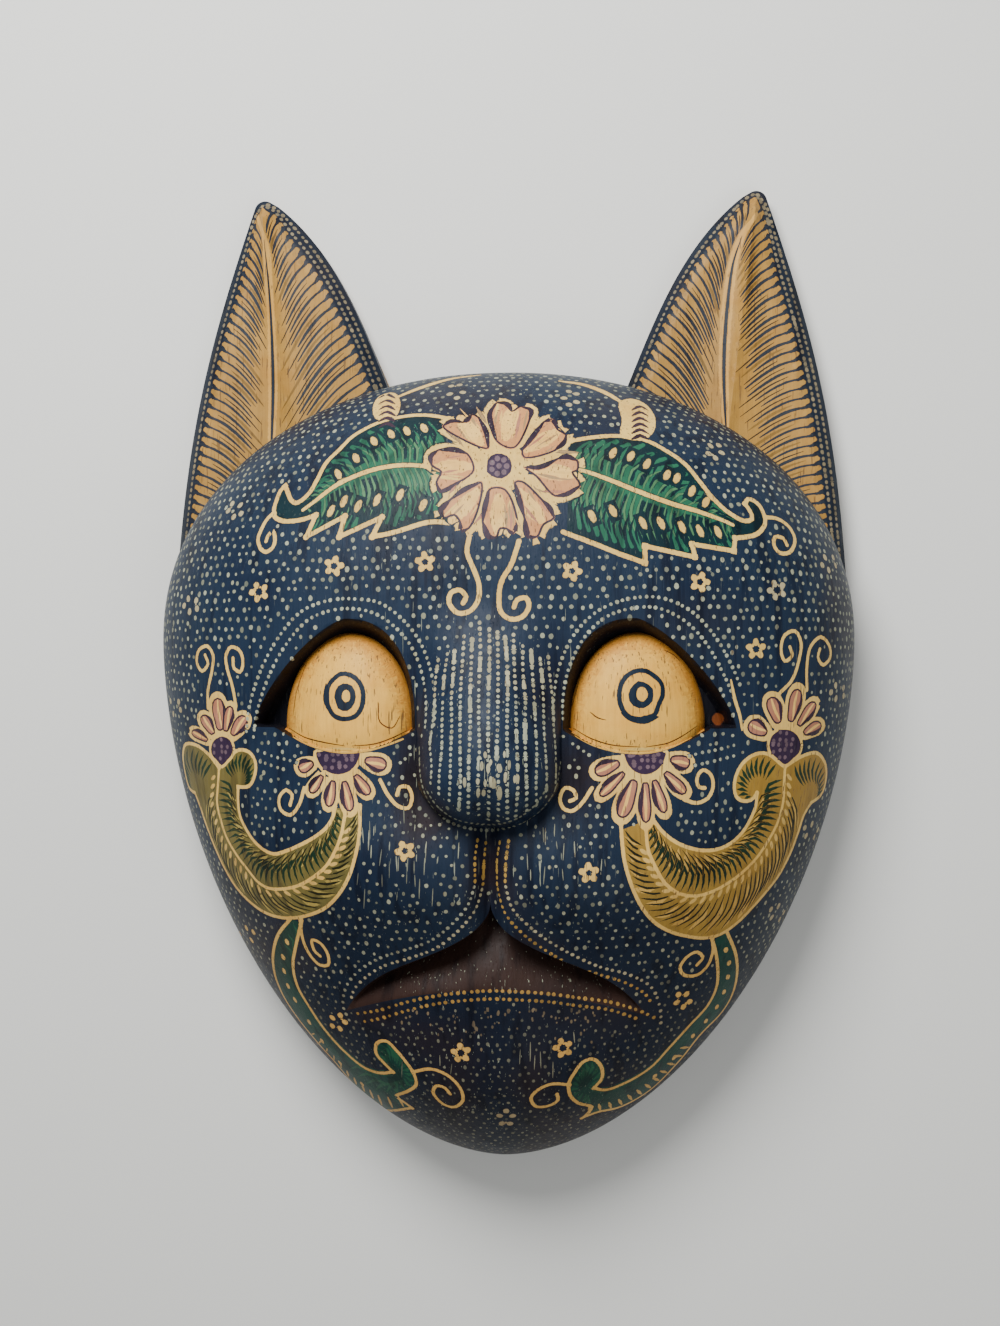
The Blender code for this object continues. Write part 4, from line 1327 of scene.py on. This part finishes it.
rows = int(FACE_LENGTH * 1.5 / (DROP_GAP * 0.9))
lattice = []
for row in range(-rows // 2, rows // 2):
    for column in range(-rows // 2, rows // 2):
        lattice.append(((column + row % 2 / 2) * DROP_GAP, CENTRE_Y + row * DROP_GAP * 0.92))
lattice = np.array(lattice) + chance.normal(0, 0.00030, (len(lattice), 2))
x, y, skin = plan_of(lattice)
lattice = lattice[(skin < BELT_AT * 1.06) & (eye(x, y) == 0) & (mouth(x, y) == 0)]
for spot in ground_drops(face, lattice):
    tone = chance.uniform(0.45, 1.1)
    low_drop = spot[1] < MOUTH_LOW_Y - 0.006
    larger = 1.15 if spot[1] > EYE_Y + 0.02 else 0.84 if low_drop else 1.0
    size = DROP_SIZE * chance.uniform(0.75, 1.3) * larger
    tone *= 0.66 if low_drop else 1.0
    face.marks.append({
        "kind": "spot", "flat": np.array((spot, spot + (0, 0.001))), "dye": "drop", "size": size,
        "stretch": chance.uniform(0.9, 1.35), "tone": tone,
    })

# The face's mesh follows the carved edges, the marks and an even net between them, finer where the
# carving turns sharply. Behind it are the flat rim and the hollow, cut with a gouge and left undyed.
RIM_WIDTH = 0.011
CROWN_WALL = 0.014
FACE_NET = 0.0023
SHARP_TURN = 0.00003
RIM_POINTS = 320
HOLLOW_RINGS = 24
GOUGE_DEPTH = 0.00035
GOUGE_WIDTH = 0.0085
SHARP_ANGLE = math.radians(38)


def arch(share):
    """The socket's rim, shrunk by share, from the outer corner over to the inner."""
    turns = np.linspace(0, math.pi, 60)
    wide = np.where(np.cos(turns) > 0, SOCKET_OUTER, SOCKET_INNER)
    power = np.where(np.cos(turns) > 0, OUTER_POWER, INNER_POWER)
    out = wide * np.sign(np.cos(turns)) * np.abs(np.cos(turns)) ** (2 / power)
    return np.stack((share * out, share * SOCKET_HIGH * np.abs(np.sin(turns)) ** (2 / power)), axis=-1)


def ball_arch(inset):
    """The line where the eyeball meets its socket, drawn in by an inset."""
    turns = np.linspace(0, math.pi, 110)
    spot = np.stack((BALL_WIDE * np.cos(turns), BALL_HIGH * np.sin(turns)), axis=-1)
    low, high = np.full(110, 0.5), np.ones(110)
    for _ in range(30):
        middle = (low + high) / 2
        out, up = (spot * middle[:, None]).T
        above = ball_rise(out, up) > pit(out, up)
        low, high = np.where(above, middle, low), np.where(above, high, middle)
    return spot * (low - inset)[:, None]


def carved_edges():
    """The edges of the carving in plan: eyes, nose, lip and mouth."""
    lines = []
    foot = 1 - SOCKET_WALL / SOCKET_INNER
    for side in (-1, 1):
        rings = [arch(share) for share in (1.0, (1 + foot) / 2, foot)]
        rings[2] = rings[2][ball_share(*rings[2].T) > 1.02]
        for line in rings + [ball_arch(inset) for inset in (0.0, 0.015, 0.04, 0.08, 0.14)]:
            lines.append(line * (side, 1) + (side * EYE_X, EYE_Y))
        outs = np.linspace(-SOCKET_INNER, SOCKET_OUTER, 44)
        for lower in (0.0, LID_WALL / 2, LID_WALL):
            lines.append(np.stack((side * (EYE_X + outs), EYE_Y + lid_line(outs) + lower), axis=-1))
    for share in (1.0, 0.96, 0.88, 0.75):
        turns = np.linspace(math.pi, 2 * math.pi, 50)
        tip = np.stack((np.cos(turns) * NOSE_HALF_WIDTH, NOSE_TIP_Y + NOSE_DROP * np.sin(turns)), axis=-1)
        up = np.linspace(NOSE_TIP_Y + 0.5 * (NOSE_TOP_Y - NOSE_TIP_Y), NOSE_TIP_Y, 26)[:-1]
        left = np.stack((np.full(25, -NOSE_HALF_WIDTH), up), axis=-1)
        foot_line = np.concatenate((left, tip, (left * (-1, 1))[::-1]))
        lines.append((foot_line - (0, NOSE_TIP_Y)) * share + (0, NOSE_TIP_Y))
    shares = np.linspace(-1, 1, 101)
    across = np.sign(shares) * np.abs(shares) ** 1.3 * MOUTH_HALF_WIDTH
    lines.append(np.stack((across, lip_line(across)), axis=-1))
    for depth in (LIP_WALL / 2, LIP_WALL):
        line = np.stack((across, lip_line(across) - depth), axis=-1)
        lines.append(line[lip_line(across) - low_line(across) > 3 * LIP_WALL])
    lines.append(np.stack((across, low_line(across)), axis=-1)[1:-1])
    return [unroll(line) for line in lines]


def net(low, high, gap):
    """An even net of points over a rectangle."""
    spots = []
    for at, y in enumerate(np.arange(low[1], high[1], gap * math.sqrt(3) / 2)):
        across = np.arange(low[0] + at % 2 * gap / 2, high[0], gap)
        spots.append(np.stack((across, np.full(len(across), y)), axis=-1))
    return np.concatenate(spots)


turns = 2 * math.pi * np.arange(RIM_POINTS) / RIM_POINTS
far = belt_radius(turns) * SKIN[-1]
face_outline = np.stack((far * np.cos(turns), CENTRE_Y + far * np.sin(turns)), axis=-1)
face_low, face_high = face_outline.min(axis=0), face_outline.max(axis=0)
coarse = net(face_low, face_high, FACE_NET)
fine = net(face_low, face_high, FACE_NET / 2)
x, y, skin = plan_of(fine)
bend = np.zeros(len(fine))
for step in ((FACE_NET / 2, 0), (0, FACE_NET / 2)):
    heights = [face_place(spots)[:, 2] for spots in (fine - step, fine, fine + step)]
    bend = np.maximum(bend, np.abs(heights[0] + heights[2] - 2 * heights[1]))
grid_points = np.concatenate((coarse, fine[(bend > SHARP_TURN) & (skin < 0.9 * BELT_AT)]))
skin = plan_of(grid_points)[2]
grid_points = grid_points[skin < SKIN[-1] - 0.006]

flat_points, triangles, beds, overs, marks, bed_marks = paint(
    face, face_place, face_outline, carved_edges(), grid_points, DYES["indigo"]
)


WAX_EDGE = (0.84, 1.06)
PORES = (2300, 60, 2300)
SLITS = (2200, 130, 2200)
GRAIN = (1400, 70, 1400)
BANDS = (330, 16, 330)
BAND_TINT = (0.52, 0.50, 0.56)
FADED_TINT = (0.55, 0.60, 0.72)
TAN_TINT = (0.80, 0.66, 0.46)
WARM_STAIN = (0.040, 0.022, 0.018)
SLIT_COLOUR = (0.10, 0.055, 0.03)


def batik_wood():
    """The dyed wood: its bed colour and its wax marks, uneven dye, grain, pores and rubbed places."""
    material = bpy.data.materials.new("batik_wood")
    material.use_nodes = True
    nodes, links = material.node_tree.nodes, material.node_tree.links
    shader = nodes["Principled BSDF"]
    place = nodes.new("ShaderNodeTexCoord").outputs["Object"]

    def attribute(name, output="Color"):
        node = nodes.new("ShaderNodeAttribute")
        node.attribute_name = name
        return node.outputs[output]

    def math_node(operation, first, second=None, third=None, clamp=False):
        node = nodes.new("ShaderNodeMath")
        node.operation = operation
        node.use_clamp = clamp
        for socket, value in zip(node.inputs, (first, second, third)):
            if value is None:
                continue
            if isinstance(value, (int, float)):
                socket.default_value = value
            else:
                links.new(value, socket)
        return node.outputs["Value"]

    def times(first, second):
        return math_node("MULTIPLY", first, second)

    def mix(share, first, second, blend="MIX"):
        node = nodes.new("ShaderNodeMix")
        node.data_type = "RGBA"
        node.blend_type = blend
        for socket, value in ((node.inputs[0], share), (node.inputs[6], first), (node.inputs[7], second)):
            if isinstance(value, (int, float)):
                socket.default_value = value
            elif isinstance(value, tuple):
                socket.default_value = (*value, 1.0)
            else:
                links.new(value, socket)
        return node.outputs[2]

    def noise(scale, detail=3.0, stretch=(1, 1, 1)):
        node = nodes.new("ShaderNodeTexNoise")
        node.inputs["Scale"].default_value = 1.0
        node.inputs["Detail"].default_value = detail
        mapping = nodes.new("ShaderNodeMapping")
        mapping.inputs["Scale"].default_value = tuple(scale * part for part in stretch)
        links.new(place, mapping.inputs["Vector"])
        links.new(mapping.outputs["Vector"], node.inputs["Vector"])
        return node.outputs["Fac"]

    def step(value, low, high):
        node = nodes.new("ShaderNodeMapRange")
        node.interpolation_type = "SMOOTHSTEP"
        node.inputs["From Min"].default_value = low
        node.inputs["From Max"].default_value = high
        links.new(value, node.inputs["Value"])
        return node.outputs["Result"]

    length = nodes.new("ShaderNodeVectorMath")
    length.operation = "LENGTH"
    links.new(attribute("mark", "Vector"), length.inputs[0])
    ragged = math_node("MULTIPLY_ADD", noise(1500, 2.0), 0.5, -0.25)
    edge = math_node("ADD", length.outputs["Value"], ragged)
    waxed = math_node("SUBTRACT", 1.0, step(edge, *WAX_EDGE))

    bed, over = attribute("bed"), attribute("over")
    colour = mix(waxed, bed, over)
    brightness = nodes.new("ShaderNodeRGBToBW")
    links.new(colour, brightness.inputs["Color"])
    pale = step(brightness.outputs["Val"], 0.06, 0.32)
    dark = math_node("SUBTRACT", 1.0, pale)

    banded = mix(1.0, colour, BAND_TINT, "MULTIPLY")
    colour = mix(times(dark, step(noise(1.0, 3.0, BANDS), 0.50, 0.66)), colour, banded)
    faded = mix(1.0, colour, FADED_TINT, "MULTIPLY")
    colour = mix(times(dark, step(noise(38, 4.0), 0.40, 0.74)), colour, faded)
    warm = mix(0.5, colour, WARM_STAIN)
    colour = mix(times(times(dark, step(noise(24), 0.56, 0.75)), 0.6), colour, warm)
    tanned = mix(1.0, colour, TAN_TINT, "MULTIPLY")
    colour = mix(times(pale, times(step(noise(150, 4.0), 0.35, 0.8), 0.6)), colour, tanned)

    grain = noise(1.0, 3.0, GRAIN)
    light_grain = math_node("MULTIPLY_ADD", grain, 0.7, 0.65)
    bright = nodes.new("ShaderNodeCombineXYZ")
    for socket in bright.inputs:
        links.new(light_grain, socket)
    colour = mix(0.55, colour, mix(1.0, colour, bright.outputs["Vector"], "MULTIPLY"))

    streak = step(noise(1.0, 2.0, PORES), 0.69, 0.72)
    colour = mix(times(times(dark, streak), attribute("rub", "Fac")), colour, DYES["drop"])
    slit = step(noise(1.0, 2.0, SLITS), 0.63, 0.67)
    colour = mix(times(times(pale, slit), 0.8), colour, SLIT_COLOUR)

    links.new(colour, shader.inputs["Base Color"])
    satin = math_node("MULTIPLY_ADD", noise(260), 0.22, 0.38)
    links.new(satin, shader.inputs["Roughness"])
    shader.inputs["Specular IOR Level"].default_value = 0.16
    rough = math_node("ADD", times(grain, 0.5), times(slit, -0.7))
    rough = math_node("ADD", rough, times(noise(300, 2.0), 0.6))
    bump = nodes.new("ShaderNodeBump")
    bump.inputs["Strength"].default_value = 0.35
    bump.inputs["Distance"].default_value = 0.0004
    links.new(rough, bump.inputs["Height"])
    links.new(bump.outputs["Normal"], shader.inputs["Normal"])
    return material


def laid_out(spots, low, high):
    """Spots scaled evenly into a rectangle of the map."""
    spots = spots - spots.min(axis=0)
    return np.array(low) + spots * (np.subtract(high, low) / spots.max(axis=0)).min()


def surface_object(name, places, faces, beds, overs, marks, rub, map_spots):
    """A mesh object of triangles and quads with its colours and marks kept on its faces and corners."""
    mesh = bpy.data.meshes.new(name)
    mesh.from_pydata([tuple(place) for place in places], [], [list(map(int, face)) for face in faces])
    for label, colours in (("bed", beds), ("over", overs)):
        layer = mesh.attributes.new(label, "FLOAT_COLOR", "FACE")
        full_colours = np.column_stack((colours, np.ones(len(colours))))
        layer.data.foreach_set("color", full_colours.astype(np.float32).ravel())
    layer = mesh.attributes.new("mark", "FLOAT_VECTOR", "CORNER")
    marks = np.column_stack((marks, np.zeros(len(marks))))
    layer.data.foreach_set("vector", marks.astype(np.float32).ravel())
    layer = mesh.attributes.new("rub", "FLOAT", "POINT")
    layer.data.foreach_set("value", np.asarray(rub, np.float32))
    mesh.uv_layers.new(name="OFBake").data.foreach_set("uv", np.asarray(map_spots, np.float32).ravel())
    piece = bpy.data.objects.new(name, mesh)
    bpy.context.scene.collection.objects.link(piece)
    return piece


# Carved places that the dye reached differently, and painted shade: the eyeballs were waxed over and stayed
# bare wood, painted darker towards their edges as shade where the dome falls away; the sockets are near
# black, blue-black dye together with painted shade of the deep recess; and the mouth and some stains beside
# the nose and on the chin are brown. Below the eyes the ground and the marks are painted darker towards the
# chin, partly darker dye and partly painted shade under the light from above the forehead.
EYE_COLOUR = np.array((0.82, 0.450, 0.074))
EYE_EDGE_SHADE = np.array((0.55, 0.235, 0.036))
PIT_DYE_AND_SHADE = np.array((0.006, 0.006, 0.010))
MOUTH_COLOUR = np.array((0.030, 0.014, 0.010))
LOW_DYE_AND_SHADE = np.array((0.0035, 0.0075, 0.017))
STAIN_COLOUR = np.array((0.020, 0.010, 0.010))
BACK_COLOUR = np.array((0.44, 0.29, 0.145))
STAINS = (
    (412, 790, 18, 60, 0.9), (578, 775, 26, 34, 0.8), (490, 870, 22, 36, 0.8), (455, 1095, 28, 60, 0.6),
    (535, 1090, 22, 60, 0.5), (420, 1040, 50, 22, 0.5), (600, 1010, 60, 30, 0.4), (545, 690, 24, 40, 0.4),
    (700, 620, 50, 30, 0.3), (430, 820, 20, 20, 0.8), (375, 1015, 30, 14, 0.6),
)

middles = flat_points[triangles].mean(axis=1)
x, y, skin = plan_of(middles)
out, up = np.abs(x) - EYE_X, y - EYE_Y
free = bed_marks < 0
# Painted shade together with darker dye: below the eyes the bare ground, and more weakly every mark, grow
# darker towards the chin.
low_dye_and_shade_share = (0.85 * smooth((EYE_Y - 0.004 - y) / 0.075))[:, None]
beds = np.where(free[:, None], beds + (LOW_DYE_AND_SHADE - beds) * low_dye_and_shade_share, beds)
overs = overs * (1 - low_dye_and_shade_share * (0.25, 0.36, 0.42))
seen = seen_at(face_place(middles))
for across, down, wide, high, strength in STAINS:
    share = strength * bell(seen[:, 0] - across, seen[:, 1] - down, wide, high) * free
    beds = beds + (STAIN_COLOUR - beds) * share[:, None]
edge = ball_share(out, up)
in_socket = (socket_share(out, up) < 1) & (up > lid_line(out))
in_ball = in_socket & (edge < 1) & (ball_rise(out, up) >= pit(out, up))
# The sockets are painted near black: blue-black dye together with painted shade of the deep recess.
beds[free & in_socket] = PIT_DYE_AND_SHADE
# Each eyeball is painted darker towards its edge: painted shade where its dome falls away into the socket.
ball_shade_share = smooth((edge - 0.72 + chance.normal(0, 0.03, len(edge))) / 0.26)[:, None]
beds = np.where((free & in_ball)[:, None], EYE_COLOUR + (EYE_EDGE_SHADE - EYE_COLOUR) * ball_shade_share, beds)
in_mouth = (np.abs(x) < MOUTH_HALF_WIDTH) & (y > low_line(x)) & (y < lip_line(x))
beds[free & in_mouth] = MOUTH_COLOUR

places = face_place(flat_points)
on_rim = np.nonzero(plan_of(flat_points)[2] > SKIN[-1] - 1e-4)[0]
rim_turn = np.arctan2(flat_points[on_rim, 1] - CENTRE_Y, flat_points[on_rim, 0])
on_rim = on_rim[np.argsort(rim_turn)]
rim_turn = np.sort(rim_turn)
count = len(on_rim)
rings = [places[on_rim]]
for ring in range(HOLLOW_RINGS + 1):
    share = ring / (HOLLOW_RINGS + 1)
    reach = (belt_radius(rim_turn) - RIM_WIDTH) * math.cos(share * math.pi / 2)
    rise = (CROWN_HEIGHT - CROWN_WALL) * math.sin(share * math.pi / 2) ** (2 / DOME_POWER)
    x, y = reach * np.cos(rim_turn), CENTRE_Y + reach * np.sin(rim_turn)
    scoops = np.abs(np.sin(math.pi * x / GOUGE_WIDTH + 0.9 * np.sin(y / 0.011)))
    scoops = scoops * np.abs(np.sin(math.pi * y / (2.6 * GOUGE_WIDTH) + 0.8 * np.sin(x / 0.007)))
    rise = rise - GOUGE_DEPTH * smooth(share * 8) * (1 - scoops)
    rings.append(np.stack((x, y, np.maximum(rise, 0)), axis=-1))
back_places = np.concatenate(rings[1:] + [np.array([(0.0, CENTRE_Y, CROWN_HEIGHT - CROWN_WALL)])])
first = len(places)
back_faces = []
numbers = [on_rim] + [first + ring * count + np.arange(count) for ring in range(HOLLOW_RINGS + 1)]
for outer, inner in zip(numbers, numbers[1:]):
    back_faces.append(np.stack((np.roll(outer, -1), outer, inner, np.roll(inner, -1)), axis=-1))
back_faces = np.concatenate(back_faces)
pole = np.full(count, first + len(back_places) - 1)
cap = np.stack((np.roll(numbers[-1], -1), numbers[-1], pole), axis=-1)
faces = [*triangles, *back_faces, *cap]
back_count = len(back_faces) + len(cap)
beds = np.concatenate((beds, np.tile(BACK_COLOUR, (back_count, 1))))
overs = np.concatenate((overs, np.tile(BACK_COLOUR, (back_count, 1))))
no_marks = np.full((len(back_faces) * 4 + len(cap) * 3, 2), NO_MARK)
marks = np.concatenate((marks.reshape(-1, 2), no_marks))
x, y, skin = plan_of(flat_points)
rub = smooth(1.25 - np.abs(x) / 0.030) * 0.6 + 0.14
rub = np.concatenate((rub, np.zeros(len(back_places))))
all_places = np.concatenate((places, back_places))
front_map = laid_out(flat_points, (0.005, 0.005), (0.755, 0.995))[triangles].reshape(-1, 2)
back_plan = laid_out(all_places[:, :2], (0.77, 0.005), (0.995, 0.5))
back_map = np.concatenate((back_plan[back_faces].reshape(-1, 2), back_plan[cap].reshape(-1, 2)))
mask = surface_object(
    "cat_mask", all_places, faces, beds, overs, marks, rub, np.concatenate((front_map, back_map))
)
mask.data.materials.append(batik_wood())
mask.data.shade_smooth()
mask.data.set_sharp_from_angle(angle=SHARP_ANGLE)
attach(mask, "root")
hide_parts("mask")

# The ears: thin plates carved in one with the head, each painted as a feather of tan fingers on bare wood
# with dark lines between them, a brushed midrib, and a blue border with rows of drops.
EAR_TIP_X = 0.743 * HALF_WIDTH
EAR_TIP_ROUND = 0.0028
EAR_ROOT_LOW = 0.066
EAR_ROOT_HIGH = 1.125
EAR_VEIN_ROOT = 0.70
EAR_ROOT_DEPTH = 0.55 * RIM_WIDTH
EAR_OUTER_SINK = 0.0008
EAR_OUTER_BULGE = 0.0047
EAR_INNER_BULGE = 0.0056
EAR_INNER_SKEW = 0.75
EAR_BACK_Z = 0.002
EAR_ROOT_THICK = 0.0115
EAR_TIP_THICK = 0.0075
EAR_EDGE_ROUND = 0.006
EAR_EDGE_DROP = 0.6 * EAR_TIP_THICK
EAR_HOLLOW = 0.0014
EAR_RIB_RISE = 0.0006
EAR_NET = 0.0013


def bowed(start, end, bulge, count, skew=1.0):
    """A bow from start to end, to the right of the way. A skew under 1 brings its widest place forward."""
    way = end - start
    right = np.array((way[1], -way[0])) / np.hypot(*way)
    shares = np.linspace(0, 1, count + 1)[:, None]
    return start + way * shares + right * bulge * np.sin(math.pi * shares**skew)


def belt_point(angle, inset=0.0):
    """Places on the face's outline in plan, drawn in by an inset."""
    far = belt_radius(np.asarray(angle, float)) - inset
    return np.stack((far * np.cos(angle), CENTRE_Y + far * np.sin(angle)), axis=-1)


def ear_plan():
    """The right ear in plan: its outer edge, round tip and inner edge, and its root inside the head."""
    corner = np.array((EAR_TIP_X, LENGTH / 2))
    for _ in range(3):
        outer = bowed(belt_point(EAR_ROOT_LOW, EAR_OUTER_SINK), corner, EAR_OUTER_BULGE, 64)
        inner = bowed(corner, belt_point(EAR_ROOT_HIGH), EAR_INNER_BULGE, 48, EAR_INNER_SKEW)
        way_in, way_out = outer[-5] - corner, inner[4] - corner
        way_in, way_out = way_in / np.hypot(*way_in), way_out / np.hypot(*way_out)
        half = math.acos(way_in @ way_out) / 2
        middle_way = (way_in + way_out) / np.hypot(*(way_in + way_out))
        middle = corner + middle_way * EAR_TIP_ROUND / math.sin(half)
        corner = corner + (0, LENGTH / 2 - (middle[1] + EAR_TIP_ROUND))
    aim = math.atan2(*(corner - middle)[::-1])
    turns = np.linspace(aim + half - math.pi / 2, aim - half + math.pi / 2, 15)
    cap = middle + EAR_TIP_ROUND * np.stack((np.cos(turns), np.sin(turns)), axis=-1)
    straight = 1.1 * EAR_TIP_ROUND / math.tan(half)
    outer = outer[:61][np.hypot(*(outer[:61] - corner).T) > straight]
    inner = inner[4:][np.hypot(*(inner[4:] - corner).T) > straight]
    root = belt_point(np.linspace(EAR_ROOT_HIGH, EAR_ROOT_LOW, 30), EAR_ROOT_DEPTH)
    vein_foot = belt_point(EAR_VEIN_ROOT, EAR_ROOT_DEPTH)
    vein = middle + (vein_foot - middle) * np.linspace(0.04, 0.94, 40)[:, None]
    return np.concatenate((outer, cap, inner)), root, vein


def distance_to(line, spots):
    """The distance from spots to the nearest of a line's pieces."""
    nearest = np.full(len(spots), np.inf)
    for start, end in zip(line, line[1:]):
        way = end - start
        share = np.clip(((spots - start) @ way) / (way @ way), 0, 1)
        nearest = np.minimum(nearest, np.hypot(*(spots - start - share[:, None] * way).T))
    return nearest


ear_edge, ear_root, ear_vein = ear_plan()


def ear_height(spots):
    """The height of the ear's front: thinner towards the tip, round at its edge, hollow beside its vein."""
    up = (spots[:, 1] - ear_edge[0, 1]) / (LENGTH / 2 - ear_edge[0, 1])
    from_edge, from_vein = distance_to(ear_edge, spots), distance_to(ear_vein, spots)
    rounding = EAR_EDGE_DROP * (1 - np.minimum(1, from_edge / EAR_EDGE_ROUND)) ** 2
    share = from_edge / np.maximum(from_edge + from_vein, 1e-6)
    hollow = EAR_HOLLOW * 4 * share * (1 - share)
    thick = EAR_ROOT_THICK + (EAR_TIP_THICK - EAR_ROOT_THICK) * np.clip(up, 0, 1)
    return EAR_BACK_Z + thick - rounding - hollow + EAR_RIB_RISE * np.exp(-((from_vein / 0.0012) ** 2))


LEFT_EAR = {
    "side": -1,
    "borders": (12.0, 20.0),
    "rib": [
        (257, 215), (264, 240), (269, 290), (272, 340), (273, 390), (272, 430), (270, 480), (262, 540),
        (250, 600),
    ],
    "rows": ((0.42,), (0.26, 0.56)),
}
RIGHT_EAR = {
    "side": 1,
    "borders": (19.0, 13.0),
    "rib": [
        (757, 214), (742, 236), (733, 264), (727, 310), (724, 360), (725, 410), (728, 450), (735, 510),
        (748, 580),
    ],
    "rows": ((0.26, 0.56), (0.42,)),
}


def along_both(first, second, share, count=24):
    """A line that runs between two others, at a share of the way across."""
    shares = np.linspace(0, 1, count)
    near, far = shares_along(first, shares), shares_along(second, shares)
    return near + (far - near) * share


FINGER_GAP = 9.6
FINGER_BOW = 0.055
FINGER_ROOTS = ((1.06, 0.11), (0.74, 0.06))
BARE_FINGERS = 0.35
PAST_BORDER = 4.0


def finger(root, tip, turned, first, last):
    """Part of a feather's finger, which leaves the border level and then turns down to the rib."""
    way = tip - root
    across = np.array((-way[1], way[0])) * FINGER_BOW * turned
    shares = np.linspace(first, last, 4)[:, None]
    return root + way * shares + across * 6.75 * shares**2 * (1 - shares)


def ear_piece(ear):
    """One ear with its drawing, as a closed plate."""
    side = ear["side"]

    def place(spots):
        return np.stack((side * spots[:, 0], spots[:, 1], ear_height(spots)), axis=-1)

    def find(pixels):
        guess = sight_line(pixels, np.full(len(pixels), 0.009))[:, :2] * (side, 1)
        return found_on(place, pixels, guess)

    drawing = Drawing()
    rib = ear["rib"]
    seen_edge = seen_at(place(ear_edge))
    tip = seen_edge[:, 1].argmin()
    shells = (seen_edge[: tip + 1][::-1], seen_edge[tip:])
    fields = []
    for shell, border in zip(shells, ear["borders"]):
        shell = shares_along(shell, np.linspace(0.02, 1, 40))
        ways = np.gradient(shell, axis=0)
        inward = np.stack((-ways[:, 1], ways[:, 0]), axis=-1) / np.hypot(*ways.T)[:, None]
        if ((np.mean(rib[2:6], axis=0) - shell[20]) @ inward[20]) < 0:
            inward = -inward
        widths = border * (0.45 + 0.55 * smooth(np.linspace(0, 4.5, 40)))
        fields.append(shell + inward * widths[:, None])
    drawing.fill(np.concatenate((fields[0], [rib[-1]], fields[1][::-1])), "ear")
    for edge, turned, (pace, lead) in zip(fields, (-side, side), FINGER_ROOTS):
        length = np.hypot(*np.diff(edge, axis=0).T).sum()
        shares = np.linspace(0.03, 1.0, int(length / FINGER_GAP))
        tips = shares_along(edge, shares)
        roots = shares_along(rib, np.minimum(pace * shares + lead, 1.0))
        middles, feet = (tips[1:] + tips[:-1]) / 2, (roots[1:] + roots[:-1]) / 2
        for foot, middle in zip(feet, middles):
            tone = chance.uniform(0.85, 1.1)
            drawing.spot(middle, 0.000104 * FINGER_GAP, "ear", middle - foot, 1.35, tone)
            ends = (chance.uniform(0.14, 0.34), chance.uniform(0.76, 0.95))
            bare = chance.uniform() < BARE_FINGERS
            path = finger(foot, middle, turned, *ends)
            if bare:
                drawing.line(path, 0.0008, "ear", taper=0.8, tone=0.55, step=BARB_STEP)
            else:
                wide = chance.uniform(0.00032, 0.00046)
                drawing.line(path, wide, "ear_line", taper=0.6, step=BARB_STEP)
        for root, tip_spot in zip(roots, tips):
            past = 1 + PAST_BORDER / np.hypot(*(tip_spot - root))
            path = finger(root, tip_spot, turned, chance.uniform(0.30, 0.52), past)
            drawing.spot(tip_spot, 0.00044, "ear_blue", tip_spot - root, 2.6)
            drawing.line(path, chance.uniform(0.00062, 0.00098), "ear_blue", taper=0.60, step=BARB_STEP)
    drawing.line(rib[:-2], 0.0030, "ear_light", taper=0.6)
    drawing.line(rib[1:-2], 0.0010, "ear_blue", taper=0.85)
    for shell, field, ratios in zip(shells, fields, ear["rows"]):
        for ratio in ratios:
            row = along_both(shell, field, ratio)
            drawing.row(row, 6.0, 0.00050, "husk", stretch=1.15, tone=0.9, run=0.02)
    settle(drawing, find)
    outline = np.concatenate((ear_edge, ear_root))
    grid = net(outline.min(axis=0), outline.max(axis=0), EAR_NET)
    grid = grid[inside(outline, grid)]
    grid = grid[distance_to(np.concatenate((outline, outline[:1])), grid) > 0.4 * EAR_NET]
    border = DYES["ear_border"]
    flat, corners, beds, overs, marks, _ = paint(drawing, place, outline, [ear_vein], grid, border)
    if side < 0:
        corners, marks = corners[:, ::-1], marks[:, ::-1]
    top = place(flat)
    ring = np.array([np.hypot(*(flat - spot).T).argmin() for spot in outline])
    if side < 0:
        ring = ring[::-1]
    count, first = len(ring), len(top)
    low = top[ring] * (1, 1, 0) + (0, 0, EAR_BACK_Z)
    middle = low.mean(axis=0)
    under = first + np.arange(count)
    walls = np.stack((np.roll(ring, -1), ring, under, np.roll(under, -1)), axis=-1)
    flat_back = [tuple(spot[:2]) for spot in low]
    made = delaunay_2d_cdt([Vector(spot) for spot in flat_back], [], [list(range(count))], 1, 1e-9, True)
    back = [[first + made[3][at][0] for at in reversed(face)] for face in made[2]]
    faces = [*corners, *walls, *back]
    extra = len(walls) + len(back)
    back_beds = np.tile(BACK_COLOUR, (len(back), 1))
    beds = np.concatenate((beds, np.tile(border, (len(walls), 1)), back_beds))
    overs = np.concatenate((overs, np.tile(BACK_COLOUR, (extra, 1))))
    no_marks = np.full((4 * len(walls) + 3 * len(back), 2), NO_MARK)
    marks = np.concatenate((marks.reshape(-1, 2), no_marks))
    name = "left_ear" if side < 0 else "right_ear"
    ear_places = np.concatenate((top, low))
    front_map = laid_out(flat, (0.005, 0.06), (0.70, 0.995))[corners].reshape(-1, 2)
    around = np.arange(count)[:, None] + (1, 0, 0, 1)
    up_wall = np.broadcast_to((0.04, 0.04, 0.01, 0.01), around.shape)
    wall_map = np.stack((around / count, up_wall), axis=-1)
    back_plan = laid_out(ear_places[:, :2], (0.72, 0.06), (0.995, 0.995))
    back_map = [back_plan[corner] for face in back for corner in face]
    map_spots = np.concatenate((front_map, wall_map.reshape(-1, 2), back_map))
    rub = np.zeros(first + count)
    return surface_object(name, ear_places, faces, beds, overs, marks, rub, map_spots)


ears = [ear_piece(LEFT_EAR), ear_piece(RIGHT_EAR)]
for ear in ears:
    ear.data.materials.append(mask.data.materials[0])
    ear.data.shade_smooth()
    ear.data.set_sharp_from_angle(angle=SHARP_ANGLE)
    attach(ear, "root")
    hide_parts("mask")
